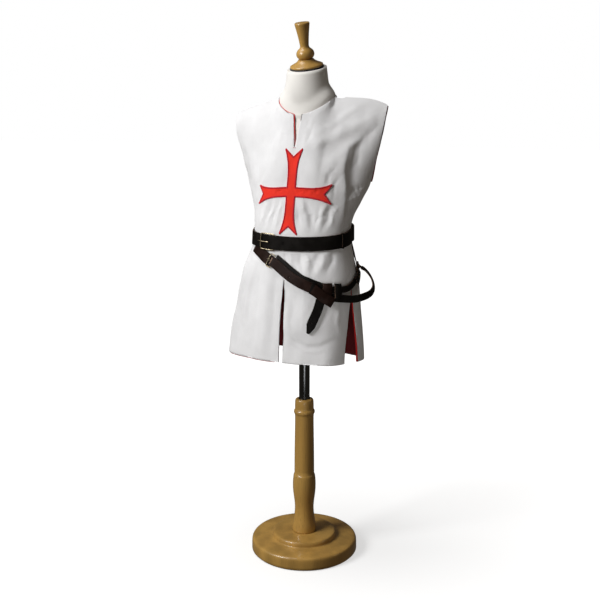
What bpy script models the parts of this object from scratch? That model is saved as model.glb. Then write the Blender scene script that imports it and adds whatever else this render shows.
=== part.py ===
"""Medieval surcoat with its belt and sword hanger, on a limbless dress form with a turned stand.

The tables are in centimetres, and every finished point is in metres. The front of the garment
faces -Y, the wearer's left is +X, and the origin is the centre of the underside of the base.
"""

import math
from collections import namedtuple

import bmesh
import bpy
import numpy as np
from mathutils import Matrix, Vector
from mathutils.bvhtree import BVHTree

CM = 0.01

# Cloth and leather thicknesses and the gap between touching pieces, in metres
OUTER_CLOTH = 0.0012
LINING_CLOTH = 0.0010
SEAM_GAP = 0.0003
LEATHER = 0.0028

# Cross-section forms: how flat the face is, and how round its edge (1 is sharp, 2 is round)
LENS = (2.6, 1.25)
SOFT = (2.3, 1.6)
OVAL = (2.0, 2.0)
BOX = (2.6, 2.3)

Section = namedtuple(
    "Section", "name height tilt right left front side back swell front_form back_form rows"
)

# Level sections of the garment from the armholes down. Height is at the side seam, tilt is the
# rise towards the back, right and left are the wearer's half widths, front, side and back are
# depths, swell is how far the back panel stands out at its sides, rows is how many grid rows
# lead to the next section.
BODY = (
    Section("armhole", 103.0, 0.000, 17.5, 17.5, -7.8, 2.3, 12.0, 0.0, LENS, LENS, 2),
    Section("ribs", 98.5, 0.020, 15.6, 15.2, -8.6, -0.4, 12.1, 0.8, SOFT, SOFT, 2),
    Section("waist", 95.0, 0.090, 13.9, 13.8, -9.3, -2.4, 11.4, 0.5, OVAL, OVAL, 1),
    Section("belt_top", 91.7, 0.158, 13.2, 13.3, -10.0, -2.6, 10.2, 0.2, OVAL, OVAL, 2),
    Section("belt_bottom", 88.1, 0.158, 13.4, 13.4, -10.2, -2.6, 9.9, 0.2, OVAL, OVAL, 2),
    Section("hip", 84.0, 0.100, 15.0, 14.3, -11.2, -2.9, 9.7, 0.5, OVAL, OVAL, 1),
    Section("vent_top", 80.0, 0.050, 16.4, 14.9, -12.0, -3.2, 9.6, 0.8, OVAL, BOX, 2),
    Section("thigh", 72.0, 0.000, 18.0, 15.4, -13.0, -3.2, 9.6, 0.9, SOFT, BOX, 2),
    Section("low", 64.0, 0.000, 19.6, 15.7, -13.9, -3.1, 9.8, 0.8, SOFT, BOX, 2),
    Section("hem", 57.0, -0.090, 20.8, 15.9, -14.4, -3.0, 10.0, 0.6, SOFT, BOX, 0),
)
BELT_TOP, BELT_BOTTOM, VENT_TOP = 3, 4, 6

# The shoulder seam from the neck to the tip, on both sides
Shoulder = namedtuple("Shoulder", "across out depth height_right height_left")
SHOULDER = (
    Shoulder(0.00, 8.1, 1.5, 125.8, 125.8),
    Shoulder(0.22, 11.0, 1.9, 124.9, 125.6),
    Shoulder(0.50, 14.8, 2.5, 123.8, 125.4),
    Shoulder(0.78, 18.6, 3.1, 122.8, 124.9),
    Shoulder(1.00, 21.6, 3.5, 121.5, 123.7),
)

# The neckline is half an ellipse to the front and half to the back
NECK_FRONT = (-4.2, 121.3)
NECK_BACK = (8.0, 126.8)
NECK_SHARE = 0.375

# How steeply a panel leaves the shoulder seam or neckline, in degrees below level
Leaving = namedtuple("Leaving", "share front back")
LEAVING = (
    Leaving(0.00, 80.0, 62.0),
    Leaving(0.30, 66.0, 52.0),
    Leaving(0.42, 55.0, 45.0),
    Leaving(0.70, 57.0, 50.0),
    Leaving(1.00, 78.0, 74.0),
)
UPPER_STEPS = (0.0, 0.1, 0.21, 0.33, 0.455, 0.59, 0.73, 0.87, 1.0)

# Armhole edges stand apart in depth between the shoulder tip and the side seam, and the back's
# edge is drawn in towards the shoulder blade
ARMHOLE_FRONT = -1.1
ARMHOLE_BACK = 1.9
ARMHOLE_BACK_IN = 1.3

# Half width of the strip down the middle of the front, which is cut away in the neck slit and
# in the vent: height at the centre front, half width, cut or whole below that height
Strip = namedtuple("Strip", "height half_width cut")
STRIP = (
    Strip(121.3, 1.15, True),
    Strip(113.0, 0.10, False),
    Strip(108.0, 0.60, False),
    Strip(84.0, 0.60, False),
    Strip(79.6, 0.10, True),
    Strip(70.0, 0.62, True),
    Strip(57.0, 0.50, True),
)

# How the cut edges of the side vents move at the hem: sideways and in depth
Vent = namedtuple("Vent", "side panel out depth")
VENTS = (
    Vent("left", "front", -1.5, -2.6),
    Vent("left", "back", 0.1, 3.0),
    Vent("right", "front", -0.2, -1.6),
    Vent("right", "back", -0.4, 2.0),
)

# The largest folds: a soft trough (negative) or ridge from one place to another, across and up
Fold = namedtuple("Fold", "panel x1 z1 x2 z2 width depth")
FOLDS = (
    Fold("front", 14.0, 120.5, 4.5, 112.5, 1.6, 0.35),
    Fold("front", 16.5, 117.5, 7.5, 110.0, 1.7, -0.55),
    Fold("front", 12.8, 115.0, 10.8, 107.0, 1.5, 0.55),
    Fold("front", 14.6, 108.0, 12.4, 95.5, 1.6, -0.50),
    Fold("front", -6.0, 120.0, -9.5, 108.0, 2.0, -0.25),
    Fold("front", -13.5, 112.0, -11.0, 96.0, 1.8, -0.45),
    Fold("front", -16.5, 116.0, -15.0, 104.0, 1.8, 0.40),
    Fold("front", 6.4, 99.8, 6.0, 93.0, 1.3, -0.40),
    Fold("front", -6.0, 99.8, -5.6, 93.0, 1.3, -0.40),
    Fold("front", -9.0, 86.0, -13.5, 64.0, 2.2, -0.55),
    Fold("front", -12.0, 86.0, -18.0, 60.0, 2.0, 0.45),
    Fold("front", 6.0, 86.0, 7.5, 66.0, 2.2, 0.45),
    Fold("front", 2.0, 66.0, 9.5, 61.0, 1.8, -0.50),
    Fold("front", 9.5, 61.0, 14.0, 66.0, 1.8, -0.40),
    Fold("back", 5.0, 121.0, 6.0, 106.0, 2.2, -0.40),
    Fold("back", -5.0, 121.0, -7.5, 105.0, 2.2, -0.45),
    Fold("back", 14.0, 116.0, 11.0, 98.0, 2.0, 0.50),
    Fold("back", -14.5, 116.0, -10.5, 97.0, 2.0, 0.45),
    Fold("back", 4.0, 104.0, 3.0, 95.5, 1.5, 0.40),
    Fold("back", -3.0, 103.0, -2.0, 95.5, 1.5, 0.35),
    Fold("back", 8.0, 89.0, 11.0, 62.0, 2.4, -0.60),
    Fold("back", -8.0, 89.0, -12.0, 61.0, 2.4, -0.60),
    Fold("back", 1.5, 88.0, -1.0, 60.0, 2.6, 0.55),
)

# The cross: half its span, half width of an arm, half width and depth of a forked end, and where
# an arm starts to widen, all from its centre on the front. Its side arms droop at their ends.
CROSS = {"centre": 101.8, "half_span": 10.85, "arm": 1.12, "end": 2.45, "notch": 2.0, "widens": 3.6}
CROSS_DROOP = {"right": 1.2, "left": 0.55}
CROSS_LIFT = 0.0012
CROSS_CLOTH = 0.0010

# The torso and neck of the form, inside the garment
Form = namedtuple("Form", "name height tilt half_width front side back form")
FORM = (
    Form("bottom_edge", 79.0, 0.000, 10.4, -7.6, -0.6, 6.8, OVAL),
    Form("bottom_round", 80.0, 0.000, 11.8, -8.8, -0.6, 8.0, OVAL),
    Form("seat", 82.4, 0.000, 12.6, -9.4, -0.6, 8.6, OVAL),
    Form("hip", 86.0, 0.000, 12.6, -9.4, -0.6, 8.8, OVAL),
    Form("waist", 90.5, 0.000, 12.4, -9.2, -0.6, 9.0, OVAL),
    Form("ribs", 97.0, 0.000, 12.7, -8.3, 0.2, 10.2, OVAL),
    Form("chest", 104.0, 0.000, 14.0, -6.9, 1.6, 11.0, OVAL),
    Form("bust", 110.0, 0.000, 14.9, -5.3, 2.4, 10.6, SOFT),
    Form("armhole", 115.5, 0.000, 14.0, -4.5, 2.6, 9.4, SOFT),
    Form("cap", 119.0, 0.000, 11.2, -3.8, 2.6, 7.6, SOFT),
    Form("shoulder", 121.3, 0.000, 9.1, -3.4, 2.2, 6.8, SOFT),
    Form("slope", 123.0, 0.000, 7.6, -3.4, 2.0, 6.6, SOFT),
    Form("neck_root", 124.6, 0.000, 6.6, -3.6, 1.7, 6.6, OVAL),
    Form("neck_low", 126.6, 0.060, 6.1, -3.9, 1.5, 6.7, OVAL),
    Form("neck_middle", 129.6, 0.160, 5.7, -3.9, 1.4, 6.5, OVAL),
    Form("neck_top", 133.0, 0.268, 5.2, -3.7, 1.3, 6.3, OVAL),
)
FORM_SIDES = 30
FORM_RINGS = (0, 1, 2, 3, 4, 5, 6, 6.5, 7, 7.5, 8, 8.5, 9, 9.5, 10, 10.5, 11, 11.5, 12, 13, 14, 15)
FORM_CLEAR = 0.011

# The pole and what holds it: the form turns on its top, and its foot slides in the column
POLE_RADIUS, POLE_FOOT, POLE_TOP = 1.50, 16.0, 83.75
POLE_SOCKET, SOCKET_TOP = 1.53, 83.8
COLUMN_BORE, BORE_BOTTOM = 1.55, 10.0

# Turned outlines from the bottom up, as radius and height
BASE_OUTLINE = (
    (14.6, 0.0), (15.0, 0.4), (15.0, 2.9), (14.75, 3.45), (14.2, 3.8),
    (9.2, 3.85), (9.05, 4.0), (9.0, 4.7), (8.7, 5.15), (8.2, 5.3),
)
COLUMN_OUTLINE = (
    (3.40, 5.33), (3.42, 6.6), (3.25, 7.6), (2.90, 9.2), (2.68, 11.2), (2.66, 12.6),
    (2.78, 14.2), (3.05, 16.0), (3.24, 17.8), (3.26, 19.6), (3.14, 21.2), (3.02, 22.1),
    (2.80, 22.3), (2.78, 27.0), (2.68, 34.0), (2.58, 39.6), (2.72, 39.9), (2.92, 40.25),
    (2.96, 40.6), (2.86, 41.0), (2.64, 41.2), (2.62, 43.6), (2.50, 44.05), (2.25, 44.25),
)
CAP_OUTLINE = (
    (4.20, 0.36), (4.36, 0.55), (4.30, 0.85), (3.70, 1.15), (2.90, 1.50), (2.30, 1.90),
    (2.02, 2.30),
)
FINIAL_OUTLINE = (
    (1.50, 2.35), (2.05, 2.70), (2.34, 3.20), (2.38, 3.75), (2.22, 4.30), (1.85, 4.75),
    (1.35, 5.10), (1.12, 5.45), (1.18, 6.2), (1.40, 8.0), (1.70, 9.8), (1.92, 10.9),
    (1.97, 11.2), (1.85, 11.45),
)
SPACER_OUTLINE = ((4.45, 0.03), (4.45, 0.31))
FINIAL_LEAN = 15.0
NECK_TOP = (0.0, 1.3, 133.0)
ROUND_SIDES = 28
BAR_SIDES = 8

# Waist belt: the places of its buckle along the front, and how high its layers lie
BELT_LIFT = 0.0004
BELT_OVER_STRAP = 0.0068
END_LIFT = BELT_LIFT + LEATHER + 0.0005
HINGE_LIFT = BELT_LIFT + 0.0080
PRONG = ((-4.8, 0.0128), (-6.2, 0.0148), (-7.4, 0.0162), (-8.0, 0.0156))
PRONG_RADIUS = 0.0013
KEEPER_THICK = 0.0014
BUCKLE_FREE_BAR, BUCKLE_HINGE_BAR, BELT_START = -7.4, -3.5, -3.1
BUCKLE_WIRE = 0.0020
BUCKLE_HALF_HEIGHT = 0.0206
KEEPER_PLACE, KEEPER_HALF_LENGTH = 21.3, 0.25
END_PAST_SIDE = 1.2
REAR_STRAP_PLACE = 3.9

# Sword hanger. Bearing is the angle round the garment from its front towards the wearer's left,
# in degrees about the axis below. Height, lift off the cloth, width and thickness are in
# centimetres, and tip is the share of the width that is left at the last stop.
AXIS_DEPTH = -2.5
Stop = namedtuple("Stop", "bearing height lift")
Strap = namedtuple("Strap", "name width thick tip steps stops")
STRAPS = (
    Strap("hanger_upper_strap", 3.0, 0.26, 1.0, 6, (
        Stop(-64.0, 87.0, 0.06), Stop(-56.0, 86.2, 0.06), Stop(-48.0, 85.5, 0.06),
        Stop(-40.0, 84.7, 0.06), Stop(-27.5, 83.8, 0.06),
    )),
    Strap("hanger_under_strap", 2.6, 0.24, 1.0, 12, (
        Stop(-21.0, 84.6, 0.06), Stop(-5.0, 83.2, 0.06), Stop(12.0, 81.5, 0.06),
        Stop(26.0, 80.0, 0.06), Stop(37.0, 79.2, 0.06),
    )),
    Strap("hanger_front_strap", 2.6, 0.26, 1.0, 14, (
        Stop(-26.5, 84.0, 0.80), Stop(-21.0, 83.6, 0.70), Stop(-10.0, 82.6, 0.46), Stop(5.0, 81.0, 0.44),
        Stop(25.0, 79.2, 0.50), Stop(39.5, 78.0, 0.44), Stop(46.0, 77.5, 0.24),
    )),
    Strap("hanger_knot", 3.2, 0.34, 1.0, 8, (
        Stop(55.0, 79.3, 0.35), Stop(55.5, 78.2, 0.74), Stop(54.5, 76.8, 0.84),
        Stop(52.5, 75.4, 0.74), Stop(51.0, 74.4, 0.40),
    )),
    Strap("hanger_tail", 2.4, 0.26, 0.35, 9, (
        Stop(50.0, 74.9, 0.06), Stop(47.0, 72.6, 0.06), Stop(43.0, 70.6, 0.06),
        Stop(38.5, 68.3, 0.06), Stop(35.0, 66.1, 0.06),
    )),
    Strap("hanger_side_run", 1.7, 0.30, 1.0, 9, (
        Stop(54.0, 77.3, 0.08), Stop(65.0, 77.4, 0.20), Stop(77.0, 77.3, 0.24),
        Stop(89.0, 78.2, 0.20), Stop(96.0, 79.2, 0.12),
    )),
    Strap("hanger_rear_strap", 2.2, 0.26, 1.0, 8, (
        Stop(103.0, 80.3, 0.08), Stop(109.0, 82.4, 0.08), Stop(117.0, 85.2, 0.08),
        Stop(124.0, 88.0, 0.06), Stop(129.0, 90.4, 0.06),
    )),
    Strap("hanger_side_loop", 2.0, 0.28, 1.0, 20, (
        Stop(60.0, 75.51, 0.10), Stop(70.0, 75.1, 0.70), Stop(80.0, 74.8, 1.60),
        Stop(88.0, 74.9, 2.80), Stop(95.0, 75.4, 3.90), Stop(100.0, 76.6, 4.40),
        Stop(103.5, 78.6, 3.80), Stop(104.5, 80.6, 2.40), Stop(104.0, 81.6, 1.30),
    )),
    Strap("hanger_junction", 2.4, 0.24, 1.0, 4, (
        Stop(95.0, 78.4, 0.52), Stop(100.0, 79.6, 0.50), Stop(106.0, 81.2, 0.44),
    )),
)
STRAP_TURN = 4.0
KEEPER_STATION, KEEPER_UNDER, KEEPER_LENGTH = 12, 0.0044, 0.0085
HANGER_FREE_BAR = Stop(-31.5, 84.25, 0.58)
HANGER_HINGE_BAR = Stop(-23.5, 83.75, 0.52)
HANGER_PRONG = (
    Stop(-26.0, 83.95, 1.25), Stop(-29.0, 84.1, 1.10), Stop(-31.5, 84.25, 0.90), Stop(-33.0, 84.35, 0.86),
)
HANGER_WIRE, HANGER_HALF_HEIGHT = 0.0016, 0.0172
RIVET_RADIUS, RIVET_HEIGHT = 0.0040, 0.0016

# Shares of the half width at which the grid has a column, from beside the centre strip outwards
COLUMN_SHARES = [NECK_SHARE * math.sin(math.radians(a)) for a in (22.5, 45.0, 67.5, 90.0)] + [
    math.sin(math.radians(a)) for a in (31.0, 41.0, 51.0, 61.0, 71.0, 81.0, 90.0)
]


def ease(value):
    """0 below 0, 1 above 1 and smooth between."""
    value = np.clip(value, 0.0, 1.0)
    return value * value * (3.0 - 2.0 * value)


def curve_through(places, values, at):
    """A smooth curve through a table's values, read at one place or many."""
    places, values = np.asarray(places, float), np.asarray(values, float)
    slopes = np.gradient(values, places)
    index = np.clip(np.searchsorted(places, at, side="right") - 1, 0, len(places) - 2)
    width = places[index + 1] - places[index]
    t = (at - places[index]) / width
    return (
        values[index] * (1 + 2 * t) * (1 - t) ** 2
        + slopes[index] * width * t * (1 - t) ** 2
        + values[index + 1] * t * t * (3 - 2 * t)
        + slopes[index + 1] * width * t * t * (t - 1)
    )


def section_between(position):
    """The garment's section at a fractional position in BODY."""
    places = range(len(BODY))

    def read(pick):
        return float(curve_through(places, [pick(row) for row in BODY], position))

    numbers = {
        field: read(lambda row, field=field: getattr(row, field))
        for field in ("height", "tilt", "right", "left", "front", "side", "back", "swell")
    }
    forms = {
        field: tuple(read(lambda row, field=field, i=i: getattr(row, field)[i]) for i in (0, 1))
        for field in ("front_form", "back_form")
    }
    return Section(name="", rows=0, **numbers, **forms)


def vent_shift(panel, share, position):
    """How far the vents move a point of the panel sideways and in depth."""
    opening = ease((position - VENT_TOP) / (len(BODY) - 1 - VENT_TOP)) * ease((abs(share) - 0.55) / 0.45)
    side = "left" if share > 0 else "right"
    for vent in VENTS:
        if (vent.side, vent.panel) == (side, panel):
            return vent.out * opening, vent.depth * opening
    return 0.0, 0.0


def body_point(panel, share, position):
    """A point of the garment below the armholes: share runs from -1 to 1 across the panel."""
    row = section_between(position)
    half_width = row.left if share > 0 else row.right
    face, edge = row.front_form if panel == "front" else row.back_form
    deep = row.front if panel == "front" else row.back
    reach = (1.0 - min(1.0, abs(share)) ** face) ** (1.0 / edge)
    out = half_width * abs(share)
    if panel == "back":
        out += row.swell * 2.6 * share * share * math.sqrt(max(0.0, 1.0 - share * share))
    more_out, more_deep = vent_shift(panel, share, position)
    x = math.copysign(out + more_out, share)
    y = row.side + (deep - row.side) * reach + more_deep
    z = row.height + row.tilt * (y - row.side)
    return np.array((x, y, z))


def top_point(panel, share):
    """A point of the neckline or of the shoulder seam."""
    across = abs(share)
    seam = [row.height_left if share > 0 else row.height_right for row in SHOULDER]
    if across >= NECK_SHARE:
        t = (across - NECK_SHARE) / (1.0 - NECK_SHARE)
        places = [row.across for row in SHOULDER]
        x = curve_through(places, [row.out for row in SHOULDER], t)
        y = curve_through(places, [row.depth for row in SHOULDER], t)
        z = curve_through(places, seam, t)
    else:
        deep, low = NECK_FRONT if panel == "front" else NECK_BACK
        around = across / NECK_SHARE
        x = SHOULDER[0].out * around
        round_share = math.sqrt(1.0 - around * around)
        y = SHOULDER[0].depth + (deep - SHOULDER[0].depth) * round_share
        z = seam[0] + (low - seam[0]) * round_share ** 1.4
    return np.array((math.copysign(x, share), y, z))


def upper_point(panel, share, t):
    """A point between the top edge (t is 0) and the armhole section (t is 1)."""
    top, low = top_point(panel, share), body_point(panel, share, 0.0)
    rising = low - body_point(panel, share, 0.35)
    straight = (top - low) / np.linalg.norm(top - low)
    rising = rising / np.linalg.norm(rising) + 2.5 * straight * ease((abs(share) - 0.6) / 0.4)
    rising /= np.linalg.norm(rising)
    places = [row.share for row in LEAVING]
    angles = [getattr(row, panel) for row in LEAVING]
    angle = math.radians(np.interp(abs(share), places, angles))
    forward = -math.cos(angle) if panel == "front" else math.cos(angle)
    length = np.linalg.norm(low - top)
    after_top = top + 0.30 * length * np.array((0.0, forward, -math.sin(angle)))
    before_low = low + 0.30 * length * rising
    point = (
        (1 - t) ** 3 * top
        + 3 * (1 - t) ** 2 * t * after_top
        + 3 * (1 - t) * t * t * before_low
        + t**3 * low
    )
    spread = ease((abs(share) - 0.7) / 0.3) * math.sin(math.pi * t)
    point[1] += (ARMHOLE_FRONT if panel == "front" else ARMHOLE_BACK) * spread
    if panel == "back":
        point[0] -= math.copysign(ARMHOLE_BACK_IN, share) * spread
    return point


def fold_height(panel, point):
    """How far the folds raise the cloth at a place of a panel. Under the belt it lies flat."""
    x, y, z = point
    total = 0.0
    for fold in FOLDS:
        if fold.panel != panel:
            continue
        start, along = np.array((fold.x1, fold.z1)), np.array((fold.x2 - fold.x1, fold.z2 - fold.z1))
        length = float(np.hypot(*along))
        t = float(np.dot(np.array((x, z)) - start, along)) / length**2
        away = abs(float(along[0] * (z - start[1]) - along[1] * (x - start[0]))) / length
        beyond = max(0.0, -t, t - 1.0) * length
        fade = math.sin(math.pi * min(1.0, max(0.0, 0.12 + 0.76 * t)))
        total += fold.depth * fade * math.exp(-((away / fold.width) ** 2) - (beyond / fold.width) ** 2)
    belt = BODY[BELT_TOP]
    belt_middle = (belt.height + BODY[BELT_BOTTOM].height) / 2 + belt.tilt * (y - belt.side)
    return total * float(ease((abs(z - belt_middle) - 2.2) / 3.0))


def row_positions():
    """The grid rows from the top: (zone, position) with zone upper or body."""
    rows = [("upper", t) for t in UPPER_STEPS[:-1]]
    for index, section in enumerate(BODY):
        rows += [("body", index + step / section.rows) for step in range(section.rows)]
    return rows + [("body", float(len(BODY) - 1))]


ROWS = row_positions()
ARMHOLE_ROW = len(UPPER_STEPS) - 1
VENT_ROW = ROWS.index(("body", float(VENT_TOP)))
SHARES = [-share for share in reversed(COLUMN_SHARES)] + [-0.001, 0.001] + COLUMN_SHARES
MIDDLE = len(COLUMN_SHARES)


def panel_points(panel):
    """The outside of one panel before its thickness: rows by columns by 3, in metres."""
    grid = np.empty((len(ROWS), len(SHARES), 3))
    for r, (zone, position) in enumerate(ROWS):
        place = upper_point if zone == "upper" else body_point
        for c, share in enumerate(SHARES):
            grid[r, c] = place(panel, share, position)
        heights, halves = [-row.height for row in STRIP], [row.half_width for row in STRIP]
        half = np.interp(-grid[r, MIDDLE, 2], heights, halves)
        grid[r, MIDDLE, 0], grid[r, MIDDLE + 1, 0] = -half, half
    return grid


def normals_of(grid, panel):
    """Unit normals of a grid, pointing out of the garment."""
    along = np.gradient(grid, axis=1)
    down = np.gradient(grid, axis=0)
    normals = np.cross(down, along) if panel == "front" else np.cross(along, down)
    return normals / np.linalg.norm(normals, axis=2, keepdims=True)


def seam_places():
    """The grid places that the front and the back share."""
    places = [(0, c) for c in range(len(SHARES)) if c <= MIDDLE - 4 or c >= MIDDLE + 5]
    places += [(r, c) for r in range(ARMHOLE_ROW, VENT_ROW + 1) for c in (0, len(SHARES) - 1)]
    return places


def garment_grids():
    """Points and offset directions of both panels, with the folds raised and the seams mitred."""
    grids, normals = {}, {}
    for panel in ("front", "back"):
        grid = panel_points(panel)
        flat = normals_of(grid, panel)
        edge = np.ones((len(ROWS), len(SHARES)))
        edge[ARMHOLE_ROW : VENT_ROW + 1, [0, -1]] = 0.0
        edge[0] = 0.0
        for r in range(len(ROWS)):
            for c in range(len(SHARES)):
                raised = fold_height(panel, grid[r, c])
                grid[r, c] += flat[r, c] * raised * edge[r, c]
        grids[panel] = grid * CM
        normals[panel] = normals_of(grid, panel)
    for place in seam_places():
        shared = (grids["front"][place] + grids["back"][place]) / 2
        ahead, behind = normals["front"][place], normals["back"][place]
        mitre = (ahead + behind) / np.linalg.norm(ahead + behind)
        for panel, own, away in (("front", ahead, -0.5), ("back", behind, 0.5)):
            grids[panel][place] = shared + np.array((0.0, away * SEAM_GAP, 0.0))
            normals[panel][place] = mitre / max(0.42, float(np.dot(mitre, own)))
    return grids, normals


def make_material(name, colour, roughness, metallic=0.0):
    material = bpy.data.materials.new(name)
    material.use_nodes = True
    shader = material.node_tree.nodes["Principled BSDF"]
    shader.inputs["Base Color"].default_value = (*colour, 1.0)
    shader.inputs["Roughness"].default_value = roughness
    shader.inputs["Metallic"].default_value = metallic
    material.diffuse_color = (*colour, 1.0)
    return material


def add_object(name, points, faces, material):
    """One closed solid as an object, shaded smooth with its sharp edges kept."""
    mesh = bpy.data.meshes.new(name)
    mesh.from_pydata([tuple(map(float, point)) for point in points], [], faces)
    shape = bmesh.new()
    shape.from_mesh(mesh)
    bmesh.ops.recalc_face_normals(shape, faces=shape.faces)
    if shape.calc_volume(signed=True) < 0:
        bmesh.ops.reverse_faces(shape, faces=shape.faces)
    shape.to_mesh(mesh)
    shape.free()
    mesh.shade_smooth()
    mesh.set_sharp_from_angle(angle=math.radians(40))
    mesh.materials.append(material)
    obj = bpy.data.objects.new(name, mesh)
    bpy.context.scene.collection.objects.link(obj)
    return obj


def wall(name, outside, inside, faces, material):
    """A closed wall between two layers of points that share the same faces."""
    used = sorted({i for face in faces for i in face})
    new = {old: i for i, old in enumerate(used)}
    count = len(used)
    points = [outside[i] for i in used] + [inside[i] for i in used]
    sides = {}
    for face in faces:
        for a, b in zip(face, face[1:] + face[:1]):
            if (b, a) in sides:
                del sides[b, a]
            else:
                sides[a, b] = True
    solid = [tuple(new[i] for i in face) for face in faces]
    solid += [tuple(new[i] + count for i in reversed(face)) for face in faces]
    solid += [(new[b], new[a], new[a] + count, new[b] + count) for a, b in sides]
    return add_object(name, points, solid, material)


def panel_faces(grid, panel):
    """Triangles of a panel's grid, without the cells that the neck slit and the vent cut away."""
    faces = []
    for r in range(len(ROWS) - 1):
        middle = (grid[r, MIDDLE, 2] + grid[r + 1, MIDDLE, 2]) / 2 / CM
        cut = panel == "front" and strip_is_cut(middle)
        for c in range(len(SHARES) - 1):
            if cut and c == MIDDLE:
                continue
            at = r * len(SHARES) + c
            below = at + len(SHARES)
            falling = np.linalg.norm(grid[r, c] - grid[r + 1, c + 1])
            rising = np.linalg.norm(grid[r, c + 1] - grid[r + 1, c])
            if falling < rising:
                faces += [(at, at + 1, below + 1), (at, below + 1, below)]
            else:
                faces += [(at, at + 1, below), (at + 1, below + 1, below)]
    return faces


def strip_is_cut(height):
    """Whether the centre strip is cut away at this height, in centimetres."""
    rows = [row for row in STRIP if row.height >= height]
    return bool(rows) and rows[-1].cut


def make_panels(grids, normals, materials):
    """The outer cloth and the lining of the front and of the back."""
    inner_face = OUTER_CLOTH + SEAM_GAP + LINING_CLOTH
    layers = (
        ("outer", 0.0, OUTER_CLOTH, materials["white_cloth"]),
        ("lining", OUTER_CLOTH + SEAM_GAP, inner_face, materials["red_lining"]),
    )
    for panel in ("front", "back"):
        points = grids[panel].reshape(-1, 3)
        directions = normals[panel].reshape(-1, 3)
        faces = panel_faces(grids[panel], panel)
        for layer, outside, inside, material in layers:
            wall(
                f"surcoat_{panel}_{layer}",
                points - directions * outside,
                points - directions * inside,
                faces,
                material,
            )


def loft(name, rings, material, closed=False):
    """A solid through rings of the same number of points, closed on itself or with flat ends."""
    count, last = len(rings[0]), len(rings) - 1
    points = [point for ring in rings for point in ring]
    faces = []
    for r in range(last + 1 if closed else last):
        near, far = r * count, (r + 1) % (last + 1) * count
        for i in range(count):
            j = (i + 1) % count
            faces.append((near + i, near + j, far + j, far + i))
    if not closed:
        faces.append(tuple(range(count)))
        faces.append(tuple(range(last * count, (last + 1) * count)))
    return add_object(name, points, faces, material)


def bar(name, route, side, radius, material, closed=False):
    """A round bar along a route in metres. Side is a direction that the route keeps square to."""
    route = np.asarray(route)
    around = [2 * math.pi * i / BAR_SIDES for i in range(BAR_SIDES)]
    rings = []
    for i, point in enumerate(route):
        before = route[i - 1] if closed or i > 0 else point
        after = route[(i + 1) % len(route)] if closed or i + 1 < len(route) else point
        along = (after - before) / np.linalg.norm(after - before)
        a = side - along * np.dot(side, along)
        a /= np.linalg.norm(a)
        b = np.cross(along, a)
        rings.append([point + radius * (a * math.cos(t) + b * math.sin(t)) for t in around])
    return loft(name, rings, material, closed)


def turned(name, outline, material, bore=None):
    """A turned solid from (radius, height) rows in cm, with a bore (radius, bottom) from the top."""
    rows = list(outline)
    if bore:
        radius, bottom = bore
        rows += [(radius, rows[-1][1]), (radius, bottom)]
    angles = [2 * math.pi * i / ROUND_SIDES for i in range(ROUND_SIDES)]
    rings = [
        [(r * math.cos(a) * CM, r * math.sin(a) * CM, z * CM) for a in angles] for r, z in rows
    ]
    return loft(name, rings, material)


def form_between(position):
    """The form's row at a fractional position in FORM."""
    low = min(int(position), len(FORM) - 2)
    pair = FORM[low], FORM[low + 1]
    mixed = [
        float(curve_through(range(len(FORM)), [row[i] for row in FORM], position)) for i in range(1, 7)
    ]
    form = tuple(a + (b - a) * (position - low) for a, b in zip(pair[0].form, pair[1].form))
    return Form("", *mixed, form)


def form_ring(row, linings):
    """One ring of the dress form, held clear of the linings round it."""
    centre = Vector((0.0, (row.front + row.back) / 2 * CM, row.height * CM))
    ring = []
    for i in range(FORM_SIDES):
        angle = 2 * math.pi * (i + 0.5) / FORM_SIDES
        share, front_half = math.sin(angle), math.cos(angle) > 0
        deep = row.front if front_half else row.back
        reach = (1.0 - min(1.0, abs(share)) ** row.form[0]) ** (1.0 / row.form[1])
        y = row.side + (deep - row.side) * reach
        height = row.height + row.tilt * (y - row.side)
        point = Vector((row.half_width * share, y, height)) * CM
        away = Vector((point.x, point.y - centre.y, 0.0))
        hits = [tree.ray_cast(Vector((0.0, centre.y, point.z)), away.normalized())[3] for tree in linings]
        reaches = [hit - FORM_CLEAR for hit in hits if hit is not None]
        held = min([away.length] + reaches)
        ring.append(point - away * (1.0 - held / away.length))
    return ring


def make_form(linings, materials):
    """Torso and neck with the pole's socket in its underside, and the turned cap and finial."""
    angles = [2 * math.pi * (i + 0.5) / FORM_SIDES for i in range(FORM_SIDES)]
    socket = [
        [(POLE_SOCKET * math.sin(a) * CM, -POLE_SOCKET * math.cos(a) * CM, z * CM) for a in angles]
        for z in (SOCKET_TOP, FORM[0].height)
    ]
    body = [form_ring(form_between(position), linings) for position in FORM_RINGS]
    loft("form_torso", socket + body, materials["jersey"])
    place = Matrix.Translation(Vector(NECK_TOP) * CM) @ Matrix.Rotation(
        math.radians(FINIAL_LEAN), 4, "X"
    )
    for name, outline, material in (
        ("form_neck_spacer", SPACER_OUTLINE, "dark_felt"),
        ("form_neck_cap", CAP_OUTLINE, "turned_wood"),
        ("form_finial", FINIAL_OUTLINE, "turned_wood"),
    ):
        turned(name, outline, materials[material]).data.transform(place)


def make_stand(materials):
    """Steel pole, turned column that it slides in, and the base."""
    pole = [(POLE_RADIUS, POLE_FOOT), (POLE_RADIUS, POLE_TOP)]
    turned("stand_pole", pole, materials["steel"])
    bore = (COLUMN_BORE, BORE_BOTTOM)
    turned("stand_column", COLUMN_OUTLINE, materials["turned_wood"], bore)
    turned("stand_base", BASE_OUTLINE, materials["turned_wood"])


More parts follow.
